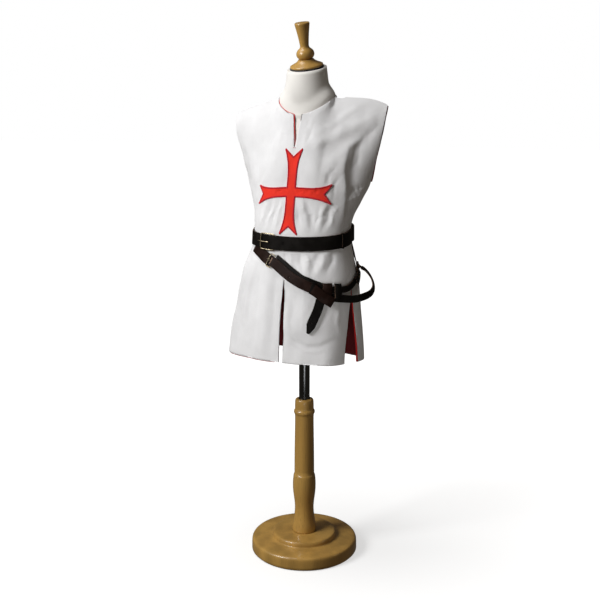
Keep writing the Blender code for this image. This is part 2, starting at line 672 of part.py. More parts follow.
def on_panel(grid, normals, column, row):
    """A point on a panel's own facets at a fractional column and row, and the normal there."""
    c = int(min(max(column, 0), grid.shape[1] - 1.001))
    r = int(min(max(row, 0), grid.shape[0] - 1.001))
    u, v = column - c, row - r
    a, b, d, e = grid[r, c], grid[r, c + 1], grid[r + 1, c], grid[r + 1, c + 1]
    if np.linalg.norm(a - e) < np.linalg.norm(b - d):
        point = a + u * (b - a) + v * (e - b) if u > v else a + v * (d - a) + u * (e - d)
    else:
        point = a + u * (b - a) + v * (d - a) if u + v < 1 else e + (1 - u) * (d - e) + (1 - v) * (b - e)
    normal = (
        normals[r, c] * (1 - u) * (1 - v)
        + normals[r, c + 1] * u * (1 - v)
        + normals[r + 1, c] * (1 - u) * v
        + normals[r + 1, c + 1] * u * v
    )
    return point, normal / np.linalg.norm(normal)


def on_front(across, up, grid, normals):
    """A place on the front, from the cross's centre, measured along the cloth in centimetres."""
    middle = (grid[:, MIDDLE, 2] + grid[:, MIDDLE + 1, 2]) / 2 / CM
    droop = CROSS_DROOP["left" if across > 0 else "right"] * (abs(across) / CROSS["half_span"]) ** 1.5
    height = CROSS["centre"] + up * 0.98 - droop
    row = float(np.interp(-height, -middle, np.arange(len(middle))))
    low = int(row)
    line = grid[low] + (row - low) * (grid[min(low + 1, len(middle) - 1)] - grid[low])
    steps = np.linalg.norm(np.diff(line, axis=0), axis=1) / CM
    lengths = np.concatenate(([0.0], np.cumsum(steps)))
    lengths -= (lengths[MIDDLE] + lengths[MIDDLE + 1]) / 2
    column = float(np.interp(across, lengths, np.arange(len(lengths))))
    return on_panel(grid, normals, column, row)


def cross_arm_width(along):
    """Half width of an arm of the cross at a distance from its centre."""
    c = CROSS
    widening = max(0.0, (along - c["widens"]) / (c["half_span"] - c["widens"]))
    return c["arm"] + (c["end"] - c["arm"]) * widening**2.4


def cross_outline():
    """Flat points of the cross by name, and its faces: a square middle and four forked arms."""
    across_steps, along_steps = 4, 9
    half = CROSS["arm"]
    places, faces = {}, []

    def point(x, y):
        key = (round(x, 4), round(y, 4))
        return places.setdefault(key, len(places))

    sides = [-1.0 + 2.0 * i / across_steps for i in range(across_steps + 1)]
    grid = [[point(half * v, half * u) for u in sides] for v in sides]
    grids = [grid]
    for turn in range(4):
        cosine, sine = round(math.cos(turn * math.pi / 2)), round(math.sin(turn * math.pi / 2))
        arm = []
        for i in range(along_steps + 1):
            line = []
            for u in sides:
                end = CROSS["half_span"] - CROSS["notch"] * (1.0 - abs(u) ** 1.25)
                along = half + (end - half) * i / along_steps
                out = u * cross_arm_width(along)
                line.append(point(along * cosine - out * sine, along * sine + out * cosine))
            arm.append(line)
        grids.append(arm)
    for rows in grids:
        for upper, lower in zip(rows, rows[1:]):
            for i in range(across_steps):
                a, b, c, d = upper[i], upper[i + 1], lower[i + 1], lower[i]
                faces += [(a, b, c), (a, c, d)]
    return list(places), faces


def make_cross(grid, normals, materials):
    """The applique, made from the front's own points and moved out."""
    flat, faces = cross_outline()
    found = [on_front(x, y, grid, normals) for x, y in flat]
    turned_out = [(a, c, b) for a, b, c in faces]
    outside = [point + normal * (CROSS_LIFT + CROSS_CLOTH) for point, normal in found]
    inside = [point + normal * CROSS_LIFT for point, normal in found]
    wall("cross_applique", outside, inside, turned_out, materials["red_applique"])


def belt_ring(grids):
    """Points of the garment under the belt's two edges, from the wearer's right side seam."""
    top, low = ROWS.index(("body", float(BELT_TOP))), ROWS.index(("body", float(BELT_BOTTOM)))
    rings = [
        np.concatenate((grids["front"][r], grids["back"][r][-2:0:-1])) for r in (top, low)
    ]
    middle = (rings[0] + rings[1]) / 2
    along = np.roll(middle, -1, axis=0) - np.roll(middle, 1, axis=0)
    out = np.cross(along, rings[0] - rings[1])
    return rings[0], rings[1], out / np.linalg.norm(out, axis=1, keepdims=True)


def ring_place(ring, across):
    """The place along the belt of a point of the front, from its x in centimetres."""
    return float(np.interp(across * CM, ring[0][: len(SHARES), 0], np.arange(len(SHARES))))


def ring_at(ring, place):
    """Middle, upward direction, outward direction and half height of the belt at a place."""
    count = len(ring[0])
    low, t = int(place) % count, place - int(place)
    top, bottom, out = (part[low] * (1 - t) + part[(low + 1) % count] * t for part in ring)
    half = np.linalg.norm(top - bottom) / 2
    return (top + bottom) / 2, (top - bottom) / (2 * half), out / np.linalg.norm(out), half


def sweep(name, middles, across, outward, half_widths, thick, material):
    """A flat strap with a rectangular section. Middles lie on its inner face."""
    rings = []
    for middle, side, out, half in zip(middles, across, outward, half_widths):
        low, high = middle - side * half, middle + side * half
        rings.append([low, high, high + out * thick, low + out * thick])
    return loft(name, rings, material)


def make_belt(ring, materials):
    """One strap from the hinge bar round the body, through the buckle and over its own start."""
    count = len(ring[0])
    start, before, strap, free, hinge, after = (
        ring_place(ring, x)
        for x in (BELT_START, -12.4, -11.2, BUCKLE_FREE_BAR, BUCKLE_HINGE_BAR, BUCKLE_HINGE_BAR + 2.2)
    )
    end = count + len(SHARES) - 1 + END_PAST_SIDE
    rear = len(SHARES) - 1 + REAR_STRAP_PLACE
    lifts = (
        (start, BELT_LIFT), (rear - 2.4, BELT_LIFT), (rear - 1.5, BELT_OVER_STRAP),
        (rear + 1.5, BELT_OVER_STRAP), (rear + 2.6, BELT_LIFT), (count + before, BELT_LIFT),
        (count + strap, BELT_OVER_STRAP), (count + free, BELT_OVER_STRAP),
        (count + hinge, HINGE_LIFT), (count + after, END_LIFT), (end, END_LIFT),
    )
    marks = [place for place, lift in lifts]
    steps = [p for p in range(math.ceil(marks[0]), int(end) + 1) if min(abs(p - m) for m in marks) > 0.2]
    places = sorted(marks + steps)
    found = [ring_at(ring, place) for place in places]
    heights = np.interp(places, marks, [lift for place, lift in lifts])
    middles = [middle + out * lift for (middle, up, out, half), lift in zip(found, heights)]
    sweep(
        "waist_belt", middles, [f[1] for f in found], [f[2] for f in found],
        [f[3] for f in found], LEATHER, materials["leather"],
    )


def rounded(corners, share=0.22):
    """A closed outline through corners, each cut back and rounded."""
    points = []
    for i, corner in enumerate(corners):
        before, after = corners[i - 1], corners[(i + 1) % len(corners)]
        start, end = corner + (before - corner) * share, corner + (after - corner) * share
        for t in (0.0, 0.35, 0.65, 1.0):
            points.append((1 - t) ** 2 * start + 2 * t * (1 - t) * corner + t * t * end)
    return points


def make_waist_buckle(ring, materials):
    """The wire frame, its prong and the belt's keeper."""
    free = ring_at(ring, ring_place(ring, BUCKLE_FREE_BAR))
    hinge = ring_at(ring, ring_place(ring, BUCKLE_HINGE_BAR))
    free_lift = BELT_OVER_STRAP + LEATHER + 0.0008 + BUCKLE_WIRE
    hinge_lift = HINGE_LIFT - 0.0004 - BUCKLE_WIRE
    corners = []
    for (middle, up, out, half), lift, sides in ((free, free_lift, (1, -1)), (hinge, hinge_lift, (-1, 1))):
        corners += [middle + out * lift + up * side * BUCKLE_HALF_HEIGHT for side in sides]
    bar("buckle_frame", rounded(corners, 0.14), free[2], BUCKLE_WIRE, materials["brass"], closed=True)
    route = []
    for across, lift in PRONG:
        middle, up, out, half = ring_at(ring, ring_place(ring, across))
        route.append(middle + out * lift)
    bar("buckle_prong", route, free[1], PRONG_RADIUS, materials["brass"])
    middle, up, out, half = ring_at(ring, KEEPER_PLACE)
    saddle(
        "belt_keeper", middle, up, out, half + 0.0004, END_LIFT + LEATHER + 0.0005,
        KEEPER_HALF_LENGTH * CM, materials["leather"],
    )


def saddle(name, middle, across, outward, half_width, over, half_length, material, foot=0.0006):
    """A band over a strap, with its two legs down to the cloth."""
    along = np.cross(across, outward)
    inner, outer = half_width, half_width + KEEPER_THICK
    profile = (
        (outer, foot), (outer, over + KEEPER_THICK), (-outer, over + KEEPER_THICK), (-outer, foot),
        (-inner, foot), (-inner, over), (inner, over), (inner, foot),
    )
    rings = [
        [middle + across * h + outward * lift + along * shift for h, lift in profile]
        for shift in (-half_length, half_length)
    ]
    return loft(name, rings, material)


def skin_tree(*names):
    """Panels as one surface to measure from."""
    points, faces = [], []
    for name in names:
        mesh = bpy.data.objects[name].data
        start = len(points)
        points += [vertex.co.copy() for vertex in mesh.vertices]
        faces += [[start + i for i in polygon.vertices] for polygon in mesh.polygons]
    return BVHTree.FromPolygons(points, faces)


def skin_radius(tree, bearing, height):
    """How far the cloth is from the axis at a bearing and height, the wider side of a vent."""
    found = []
    for turn in (-1.5, 0.0, 1.5):
        angle = math.radians(bearing + turn)
        outward = Vector((math.sin(angle), -math.cos(angle), 0.0))
        start = Vector((0.0, AXIS_DEPTH * CM, height * CM)) + outward * 0.5
        found.append(0.5 - tree.ray_cast(start, -outward)[3])
    return max(found)


def skin_point(tree, bearing, height):
    angle = math.radians(bearing)
    radius = skin_radius(tree, bearing, height)
    return np.array((
        radius * math.sin(angle), AXIS_DEPTH * CM - radius * math.cos(angle), height * CM
    ))


def skin_frame(tree, bearing, height):
    """A point of the cloth and the smoothed direction out of it."""
    before, after = bearing - STRAP_TURN, bearing + STRAP_TURN
    around = skin_point(tree, after, height) - skin_point(tree, before, height)
    upward = skin_point(tree, bearing, height + 1.2) - skin_point(tree, bearing, height - 1.2)
    out = np.cross(around, upward)
    return skin_point(tree, bearing, height), out / np.linalg.norm(out)


def clearance(tree, point):
    """How far a point stands off the cloth, measured from the axis."""
    x, y = float(point[0]), float(point[1]) - AXIS_DEPTH * CM
    bearing = math.degrees(math.atan2(x, -y))
    return math.hypot(x, y) - skin_radius(tree, bearing, float(point[2]) / CM)


def strap_stations(tree, strap):
    """Middles, across directions and outward directions of a strap laid on the cloth."""
    places = np.linspace(0, len(strap.stops) - 1, strap.steps + 1)
    bearing, height, lift = (
        curve_through(range(len(strap.stops)), [stop[i] for stop in strap.stops], places)
        for i in range(3)
    )
    frames = [skin_frame(tree, b, h) for b, h in zip(bearing, height)]
    middles = np.array([point + out * rise * CM for (point, out), rise in zip(frames, lift)])
    for sweep_again in range(2):
        along = np.gradient(middles, axis=0)
        across = np.cross([out for point, out in frames], along)
        across /= np.linalg.norm(across, axis=1, keepdims=True)
        outward = np.cross(along, across)
        outward /= np.linalg.norm(outward, axis=1, keepdims=True)
        for i, rise in enumerate(lift):
            reach = across[i] * strap.width * CM / 2
            lowest = min(clearance(tree, middles[i] + reach * share) for share in (-1, -0.5, 0, 0.5, 1))
            middles[i] += outward[i] * max(0.0, rise * CM - lowest)
    return middles, across, outward


def make_hanger(tree, materials):
    """The straps of the sword hanger, its keeper and its rivet."""
    laid = {}
    for strap in STRAPS:
        middles, across, outward = laid[strap.name] = strap_stations(tree, strap)
        halves = np.full(len(middles), strap.width * CM / 2)
        if strap.tip < 1.0:
            halves[-1] *= strap.tip
        sweep(strap.name, middles, across, outward, halves, strap.thick * CM, materials["leather"])
    widths = {strap.name: strap.width * CM / 2 for strap in STRAPS}
    thick = {strap.name: strap.thick * CM for strap in STRAPS}
    middle, side, out = (part[KEEPER_STATION] for part in laid["hanger_front_strap"])
    saddle(
        "hanger_keeper", middle - out * KEEPER_UNDER, side, out, widths["hanger_front_strap"] + 0.0004,
        KEEPER_UNDER + thick["hanger_front_strap"] + 0.0005, KEEPER_LENGTH / 2, materials["leather"],
    )
    middle, side, out = (part[len(part) // 2] for part in laid["hanger_junction"])
    seat = thick["hanger_junction"] + 0.0003
    rivet = [middle + out * seat, middle + out * (seat + RIVET_HEIGHT)]
    bar("hanger_rivet", rivet, side, RIVET_RADIUS, materials["brass"])


def make_hanger_buckle(tree, materials):
    """The hanger's wire frame and its prong."""
    ends = []
    for stop in (HANGER_FREE_BAR, HANGER_HINGE_BAR):
        point, out = skin_frame(tree, stop.bearing, stop.height)
        ends.append((point + out * stop.lift * CM, out))
    (free, out), (hinge, _) = ends
    across = np.cross(out, hinge - free)
    across *= HANGER_HALF_HEIGHT / np.linalg.norm(across)
    corners = [free + across, free - across, hinge - across, hinge + across]
    bar("hanger_buckle", rounded(corners, 0.14), out, HANGER_WIRE, materials["brass"], closed=True)
    route = []
    for stop in HANGER_PRONG:
        point, away = skin_frame(tree, stop.bearing, stop.height)
        route.append(point + away * stop.lift * CM)
    bar("hanger_prong", route, across, PRONG_RADIUS, materials["brass"])


def clear_scene():
    for obj in list(bpy.data.objects):
        bpy.data.objects.remove(obj)


def make_materials():
    return {
        "white_cloth": make_material("white_cloth", (0.86, 0.86, 0.88), 0.85),
        "red_lining": make_material("red_lining", (0.45, 0.02, 0.02), 0.7),
        "red_applique": make_material("red_applique", (0.70, 0.03, 0.02), 0.75),
        "leather": make_material("leather", (0.035, 0.025, 0.02), 0.55),
        "brass": make_material("brass", (0.50, 0.42, 0.28), 0.35, 1.0),
        "jersey": make_material("jersey", (0.78, 0.74, 0.68), 0.9),
        "turned_wood": make_material("turned_wood", (0.42, 0.26, 0.10), 0.3),
        "steel": make_material("steel", (0.35, 0.36, 0.38), 0.25, 1.0),
        "dark_felt": make_material("dark_felt", (0.03, 0.03, 0.03), 0.9),
    }


clear_scene()
MATERIALS = make_materials()
GRIDS, NORMALS = garment_grids()
make_panels(GRIDS, NORMALS, MATERIALS)
make_cross(GRIDS["front"], NORMALS["front"], MATERIALS)
RING = belt_ring(GRIDS)
make_belt(RING, MATERIALS)
make_waist_buckle(RING, MATERIALS)
OUTSIDE = skin_tree("surcoat_front_outer", "surcoat_back_outer")
make_hanger(OUTSIDE, MATERIALS)
make_hanger_buckle(OUTSIDE, MATERIALS)
make_form([skin_tree("surcoat_front_lining"), skin_tree("surcoat_back_lining")], MATERIALS)
make_stand(MATERIALS)
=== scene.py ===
"""Surcoat, belt, sword hanger and dress form: the finished cloth, leather, metal and wood."""

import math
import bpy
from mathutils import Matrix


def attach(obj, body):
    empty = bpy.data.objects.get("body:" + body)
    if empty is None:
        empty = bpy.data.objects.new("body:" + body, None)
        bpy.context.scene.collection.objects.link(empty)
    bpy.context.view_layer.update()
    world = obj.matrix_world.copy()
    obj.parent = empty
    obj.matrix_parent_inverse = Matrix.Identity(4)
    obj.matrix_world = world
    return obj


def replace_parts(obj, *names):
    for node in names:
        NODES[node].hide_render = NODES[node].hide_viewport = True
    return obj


bl_info = {
    "name": "Medieval Surcoat on a Dress Form",
    "version": (1, 0, 0),
    "blender": (4, 5, 0),
    "location": "View3D > Sidebar > Surcoat",
    "description": "Dresses the solids of a surcoat and its stand in cloth, leather, brass, steel and wood",
    "category": "Object",
}

from collections import namedtuple

import bmesh
import bpy
import numpy as np
from bpy.props import FloatProperty, FloatVectorProperty, PointerProperty
from mathutils import Matrix, Vector
from mathutils.bvhtree import BVHTree
from mathutils.kdtree import KDTree

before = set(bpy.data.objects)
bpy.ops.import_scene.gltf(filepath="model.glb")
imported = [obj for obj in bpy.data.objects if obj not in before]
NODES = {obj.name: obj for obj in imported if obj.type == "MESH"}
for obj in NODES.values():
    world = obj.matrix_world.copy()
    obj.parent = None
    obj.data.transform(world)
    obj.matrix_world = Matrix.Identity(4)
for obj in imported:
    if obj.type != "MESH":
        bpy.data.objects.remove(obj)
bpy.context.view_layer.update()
CM = 0.01

# Where the belt lies, so that the creases die away under it: height in front and rise to the back
BELT_MIDDLE, BELT_RISE, BELT_SIDE = 0.8990, 0.158, -0.026
BELT_HALF = 0.0185

STRAPS = (
    "hanger_upper_strap", "hanger_under_strap", "hanger_front_strap", "hanger_knot", "hanger_tail",
    "hanger_side_run", "hanger_rear_strap", "hanger_side_loop", "hanger_junction", "hanger_keeper",
)

# Creases of the cloth, in cm: height, positive for a ridge and negative for a trough, width to
# where it has nearly gone, lean, which makes one flank steeper than the other, and then x and z of
# each place along it on the front or the back panel
CREASES = {"front": (
    (-0.16, 1.1, 0.2, 9.6, 99.6, 10.2, 96.6, 10.9, 93.4),
    (-0.1, 0.35, 0.0, -4.2, 101.1, -3.7, 102.3),
    (-0.08, 0.35, 0.0, -3.3, 101.2, -2.9, 102.5),
    (-0.12, 0.4, 0.0, 1.7, 101.2, 2.5, 102.4),
    (-0.12, 0.4, 0.0, 3.7, 101.1, 4.4, 102.3),
    (-0.1, 0.35, 0.0, 5.6, 101.3, 6.1, 102.4),
    (-0.1, 0.35, 0.0, -1.4, 95.0, -0.7, 96.2),
    # Across the wearer's left chest, from the shoulder to the slit
    (0.3, 1.5, 0.0, 19.4, 120.6, 12.8, 117.3, 8.0, 115.0, 4.6, 113.0),
    (0.1, 1.1, 0.2, 12.6, 113.0, 10.8, 110.4, 9.4, 107.0),
    (-0.12, 0.8, 0.0, 20.6, 119.4, 18.6, 117.2, 17.4, 113.6),
    (0.16, 0.9, 0.0, 15.8, 124.2, 12.0, 121.4, 8.6, 118.4, 4.6, 115.6),
    (-0.1, 0.5, 0.0, 3.2, 120.2, 2.6, 117.2, 1.9, 114.4),
    (-0.14, 0.6, 0.0, 4.9, 119.4, 4.2, 116.8, 2.8, 113.4),
    # Puckers of the cross's arms
    (-0.14, 0.32, 0.0, 3.6, 102.7, 3.1, 102.0, 2.6, 101.3),
    (-0.15, 0.34, 0.0, 5.2, 102.8, 4.8, 102.0, 4.4, 101.3),
    (0.1, 0.3, 0.0, 6.1, 102.6, 5.7, 101.9, 5.3, 101.2),
    (-0.14, 0.36, 0.0, 7.2, 102.8, 6.7, 102.1, 6.2, 101.4),
    (-0.12, 0.32, 0.0, -2.8, 102.8, -3.1, 101.9, -3.3, 101.0),
    (-0.1, 0.3, 0.0, 0.5, 96.6, 0.1, 95.4, -0.3, 94.4),
    # Where the front turns to the wearer's left side
    (0.55, 1.0, 0.5, 15.4, 115.0, 13.5, 113.2, 12.8, 107.1, 12.9, 99.0, 13.1, 94.5),
    (-0.5, 1.0, -0.3, 18.0, 116.6, 15.2, 112.8, 14.6, 107.0, 14.4, 103.5),
    (-0.3, 0.6, 0.5, 16.4, 103.0, 14.6, 102.0, 13.2, 101.2),
    (0.22, 0.5, 0.0, 16.3, 101.4, 14.4, 100.0, 13.0, 99.6),
    (-0.26, 0.6, 0.0, 10.6, 108.0, 9.7, 106.0, 8.8, 103.0),
    (-0.16, 0.45, 0.0, 11.8, 106.0, 10.9, 103.2, 10.7, 99.5),
    # Gathers that rise from the belt in front
    (0.24, 0.75, 0.3, 3.0, 100.4, 4.2, 96.4, 5.4, 92.6),
    (-0.22, 0.7, 0.0, 4.6, 99.8, 5.6, 96.4, 6.6, 92.6),
    (-0.16, 0.6, 0.0, 1.9, 98.8, 2.6, 95.6, 3.3, 92.4),
    (0.24, 0.6, 0.2, 9.4, 100.2, 8.6, 96.2, 7.9, 92.6),
    (-0.26, 0.65, 0.0, 10.9, 99.4, 9.9, 95.8, 9.2, 92.6),
    (0.2, 0.5, 0.0, 11.6, 98.0, 10.9, 95.2, 10.5, 93.0),
    (-0.16, 0.45, 0.0, 8.0, 97.6, 7.4, 95.0, 7.0, 92.6),
    (-0.12, 0.45, 0.0, -1.4, 99.6, -2.3, 95.6, -2.9, 92.2),
    (0.13, 0.4, 0.0, -2.4, 99.4, -3.3, 95.4, -4.0, 92.2),
    (-0.16, 0.45, 0.0, -3.4, 99.6, -4.6, 95.4, -5.6, 91.9),
    (0.15, 0.45, 0.0, -4.6, 99.0, -5.8, 95.2, -6.8, 92.0),
    (-0.16, 0.5, 0.0, -5.6, 99.4, -6.9, 95.4, -7.9, 92.2),
    (0.16, 0.5, 0.0, -7.2, 98.6, -8.4, 95.2, -9.2, 92.6),
    (-0.14, 0.5, 0.0, -9.0, 98.4, -9.9, 95.4, -10.4, 92.8),
    # Wearer's right chest and side
    (0.34, 1.2, 0.3, -14.7, 115.4, -13.0, 107.6, -11.6, 101.0, -10.2, 95.4),
    (-0.3, 1.1, 0.0, -19.0, 114.0, -16.8, 107.0, -14.8, 100.4),
    (0.24, 0.9, 0.0, -19.8, 110.4, -17.6, 104.6, -15.6, 99.4),
    (-0.14, 0.8, 0.0, -2.6, 119.0, -3.4, 116.4, -4.0, 112.6),
    (0.12, 0.6, 0.0, 2.7, 119.6, 2.5, 116.4, 2.8, 112.6),
    (-0.14, 0.7, 0.0, -8.6, 107.4, -10.2, 104.8, -11.6, 102.4),
    # Skirt, wearer's right
    (0.36, 1.3, 0.3, -9.6, 86.6, -11.8, 75.0, -13.4, 59.0),
    (-0.3, 1.3, 0.0, -7.2, 86.0, -8.4, 73.0, -9.4, 58.4),
    (0.22, 1.2, 0.0, -4.6, 82.0, -5.2, 70.9, -5.4, 58.6),
    (0.34, 1.4, 0.0, -13.0, 86.0, -16.6, 72.0, -18.6, 58.2),
    (-0.28, 1.2, 0.0, -11.6, 86.0, -14.2, 74.0, -16.0, 58.6),
    (-0.16, 0.9, 0.0, -2.4, 82.0, -2.8, 70.0, -2.6, 60.0),
    # Skirt, wearer's left
    (-0.18, 0.45, 0.0, -0.6, 87.0, -0.3, 85.0, 0.0, 82.6),
    (0.16, 0.45, 0.0, 1.0, 86.8, 1.4, 84.6, 1.9, 82.4),
    (-0.2, 0.55, 0.0, 3.4, 86.9, 4.1, 84.4, 4.9, 81.8),
    (0.24, 0.7, 0.3, 5.4, 86.9, 6.0, 84.0, 6.4, 81.6),
    (-0.28, 0.75, 0.0, 8.2, 87.0, 7.8, 84.4, 7.2, 81.6),
    (0.3, 0.8, 0.0, 10.2, 87.4, 9.6, 84.6, 8.7, 81.4),
    (-0.26, 0.7, 0.0, 11.8, 87.8, 11.4, 84.8, 10.8, 81.4),
    (-0.3, 1.0, 0.6, 0.6, 66.2, 3.4, 64.0, 6.9, 62.4, 9.6, 62.5, 13.6, 64.6),
    (0.12, 0.5, -0.6, 1.0, 65.0, 3.8, 62.8, 6.9, 61.3, 9.8, 61.3, 13.4, 63.0),
    (-0.24, 0.9, 0.0, 12.2, 74.6, 10.4, 70.0, 8.4, 66.2),
    (0.26, 0.8, 0.0, 12.9, 74.6, 13.4, 70.0, 13.8, 65.8),
    (0.16, 0.7, 0.0, 1.7, 73.4, 1.6, 69.0, 1.7, 65.6),
), "back": (
    # From the shoulders to the belt
    (0.36, 1.2, 0.2, 17.6, 118.4, 13.6, 112.4, 10.8, 105.0, 9.6, 97.4),
    (-0.34, 1.0, 0.0, 19.0, 115.6, 15.8, 109.6, 13.2, 102.6, 11.4, 96.4),
    (0.32, 1.2, 0.0, -16.4, 117.4, -12.6, 111.0, -10.2, 104.6, -8.6, 97.4),
    (-0.34, 1.0, 0.0, -18.6, 114.6, -15.6, 108.0, -12.8, 101.8, -11.0, 96.4),
    (-0.22, 1.1, 0.0, 6.6, 121.0, 4.4, 114.4, 3.2, 107.6),
    (-0.2, 1.1, 0.0, -6.2, 120.4, -5.0, 113.0, -4.4, 106.8),
    (0.18, 0.9, 0.0, -3.0, 118.0, 0.6, 115.8, 3.8, 116.4),
    (-0.2, 0.7, 0.4, -5.6, 113.8, -0.4, 111.6, 5.4, 112.8),
    # Gathers at the belt
    (-0.26, 0.55, 0.0, 9.2, 101.0, 8.0, 97.2, 7.2, 94.0),
    (0.26, 0.55, 0.0, 6.9, 101.6, 6.1, 97.6, 5.5, 94.0),
    (-0.28, 0.6, 0.0, 5.6, 103.4, 4.6, 98.2, 3.9, 94.0),
    (0.3, 0.6, 0.2, 3.5, 104.8, 2.9, 98.8, 2.2, 94.0),
    (-0.26, 0.55, 0.0, 1.2, 103.2, 1.0, 98.2, 0.6, 94.0),
    (0.24, 0.55, 0.0, -0.8, 101.6, -0.9, 97.6, -1.1, 94.0),
    (-0.28, 0.6, 0.0, -2.0, 104.6, -2.6, 98.6, -2.8, 94.0),
    (0.28, 0.6, 0.0, -3.8, 102.8, -4.2, 98.0, -4.5, 94.0),
    (-0.26, 0.55, 0.0, -5.8, 102.4, -6.2, 97.8, -6.3, 94.0),
    (0.24, 0.55, 0.0, -8.0, 101.2, -8.0, 97.2, -8.0, 94.0),
    # Skirt
    (-0.34, 1.3, 0.0, 8.6, 88.6, 10.4, 75.0, 11.2, 58.6),
    (0.36, 1.3, 0.0, 5.0, 88.8, 6.2, 74.0, 6.8, 58.4),
    (-0.32, 1.2, 0.0, 2.2, 88.8, 2.0, 74.0, 2.4, 58.2),
    (0.34, 1.2, 0.0, -1.6, 88.8, -2.4, 74.0, -2.8, 58.2),
    (-0.34, 1.3, 0.0, -5.2, 88.8, -6.8, 74.0, -8.0, 58.4),
    (0.34, 1.3, 0.0, -8.6, 88.6, -11.0, 74.0, -12.6, 58.6),
    (-0.26, 1.0, 0.0, -11.6, 87.6, -14.6, 74.0, -16.4, 59.0),
    (0.16, 0.5, 0.0, -12.0, 63.0, -4.0, 61.4, 4.0, 62.4, 12.0, 61.6),
)}

# Distance between the places read along a crease, and the lowest that creases may press the cloth
CREASE_STEP = 0.006
DEEPEST_CREASE = -0.0045

# Holes punched in the leather: node, place of the hole's middle in cm, and radius in mm
Hole = namedtuple("Hole", "source x y z radius")
HOLES = (
    Hole("waist_belt", -0.9, -10.6, 88.6, 1.5),
    Hole("waist_belt", 4.5, -9.9, 88.8, 1.5),
    Hole("waist_belt", 9.6, -7.9, 89.2, 1.5),
    Hole("hanger_front_strap", 1.6, -12.2, 80.3, 1.4),
    Hole("hanger_tail", 7.6, -11.5, 68.9, 1.4),
)

# Straps of the knot and what passes under it. Each stop has a bearing, the angle in degrees from
# the front towards the wearer's left, and in cm a height and a lift off the cloth.
Band = namedtuple("Band", "width thick stops")
KNOT = (
    Band(2.4, 0.26, (
        (58.6, 79.0, 0.30), (58.4, 78.2, 0.72), (57.6, 76.8, 0.80), (56.0, 75.2, 0.60),
    )),
    Band(2.7, 0.26, (
        (41.0, 77.7, 0.64), (46.0, 76.9, 0.92), (52.0, 75.8, 1.22), (57.5, 74.9, 1.20),
        (61.0, 74.3, 0.86), (62.6, 74.0, 0.36),
    )),
)
WRAP = Band(1.9, 0.24, (
    (68.6, 78.8, 0.24), (68.4, 78.2, 0.66), (68.0, 76.9, 0.90), (67.7, 75.8, 1.08),
    (67.5, 75.2, 0.96),
))
LOOP_END = Band(2.0, 0.28, (
    (104.0, 81.45, 1.38), (104.3, 82.1, 0.96), (105.2, 82.4, 0.60), (107.4, 82.3, 0.42),
))
UNDER_END = Band(2.5, 0.22, ((35.6, 79.32, 0.07), (44.0, 78.6, 0.07), (55.5, 77.7, 0.08)))

# Where from front to back the axis of the bearings stands
STRAP_AXIS = -0.025

# Parts of the cloth's edges where the red lining shows: how wide in mm at the bottom and at the
# top, the way in which it is folded, and the low and high corners of the place
Peek = namedtuple("Peek", "name panel low_width high_width fold low high")
PEEKS = (
    Peek(
        "neck_lining_line", "front", 1.4, 1.2, (0.5, 0.6, 0.6),
        (-0.086, -0.08, 1.205), (-0.004, 0.03, 1.27),
    ),
    Peek(
        "slit_lining_line", "front", 1.2, 2.2, (0.9, 0.4, 0.0),
        (-0.0125, -0.10, 1.131), (-0.0005, -0.02, 1.2125),
    ),
    Peek(
        "hem_lining_line", "front", 1.6, 1.6, (0.0, 0.2, -1.0),
        (-0.185, -0.17, 0.56), (-0.012, -0.02, 0.60),
    ),
    Peek(
        "left_seam_lining_line", "front", 1.6, 1.2, (0.8, 0.6, 0.0),
        (0.10, -0.08, 0.795), (0.20, 0.04, 1.025),
    ),
    Peek(
        "left_vent_lining_strip", "back", 5.5, 1.2, (-1.0, 0.05, 0.0),
        (0.09, -0.06, 0.556), (0.20, 0.045, 0.80),
    ),
    Peek(
        "right_vent_lining_strip", "back", 6.0, 2.0, (0.8, 0.6, 0.0),
        (-0.23, -0.06, 0.556), (-0.12, 0.045, 0.80),
    ),
    Peek(
        "left_armhole_lining_strip", "front", 6.0, 1.0, (0.5, 0.85, 0.0),
        (0.14, -0.04, 1.04), (0.22, 0.05, 1.13),
    ),
    Peek(
        "left_shoulder_lining_strip", "front", 1.0, 4.0, (0.5, 0.85, 0.0),
        (0.19, 0.0, 1.19), (0.22, 0.05, 1.236),
    ),
)

# Edges whose lining strips take the copy with painted light, the rest the copy with painted shade
PAINTED_LIGHT_EDGES = ("neck", "slit", "left_vent")

# Flat cloth of each panel: width, length and area
LINING_SHEETS = (("front", 0.45, 0.70, 0.267), ("back", 0.49, 0.735, 0.316))

# Half thickness of a fold of lining, how far it stands clear of the cloth, and its profile
FOLD_HALF = 0.0004
FOLD_CLEAR = 0.0007
FOLD_PROFILE = (
    (0.0, -0.5), (0.3, -1.0), (0.9, -0.8), (1.0, 0.0), (0.9, 0.8), (0.3, 1.0), (0.0, 0.5),
)

# Profile of the satin stitch in parts of its width and height, its height, and how much closer to
# the cotton the cross lies than its solid
STITCH_PROFILE = ((-0.5, -2.6), (-0.46, 0.6), (-0.24, 1.4), (0.24, 1.4), (0.46, 0.6), (0.5, -2.6))
STITCH_HEIGHT = 0.0006
CROSS_SINK = 0.0010

# Bar of stitches at the bottom of the neck slit: its first place, its steps and its radius
TACK_X, TACK_Z, TACK_STEP, TACK_STEPS, TACK_RADIUS = -0.0038, 1.1292, 0.00095, 9, 0.0008

# Rounds of smoothing for the cloth beside the neck, and the farthest that a distance is measured
NECK_ROUNDS = 260
NEAR = 0.05

# The blunt point of the hanger's tail: its length, and its share of the strap's width
TIP_LENGTH, TIP_SHARE = 0.026, 0.26

# How far the cutter of a hole reaches
HOLE_DEPTH = 0.0044

# How far the jersey stays behind the lining, and how far it may be brought out
JERSEY_CLEAR, JERSEY_REACH = 0.0025, 0.040

# Faces with a side shorter than this are the cut edge of the cloth or the leather
CLOTH_EDGE, STRAP_EDGE = 0.0016, 0.0037

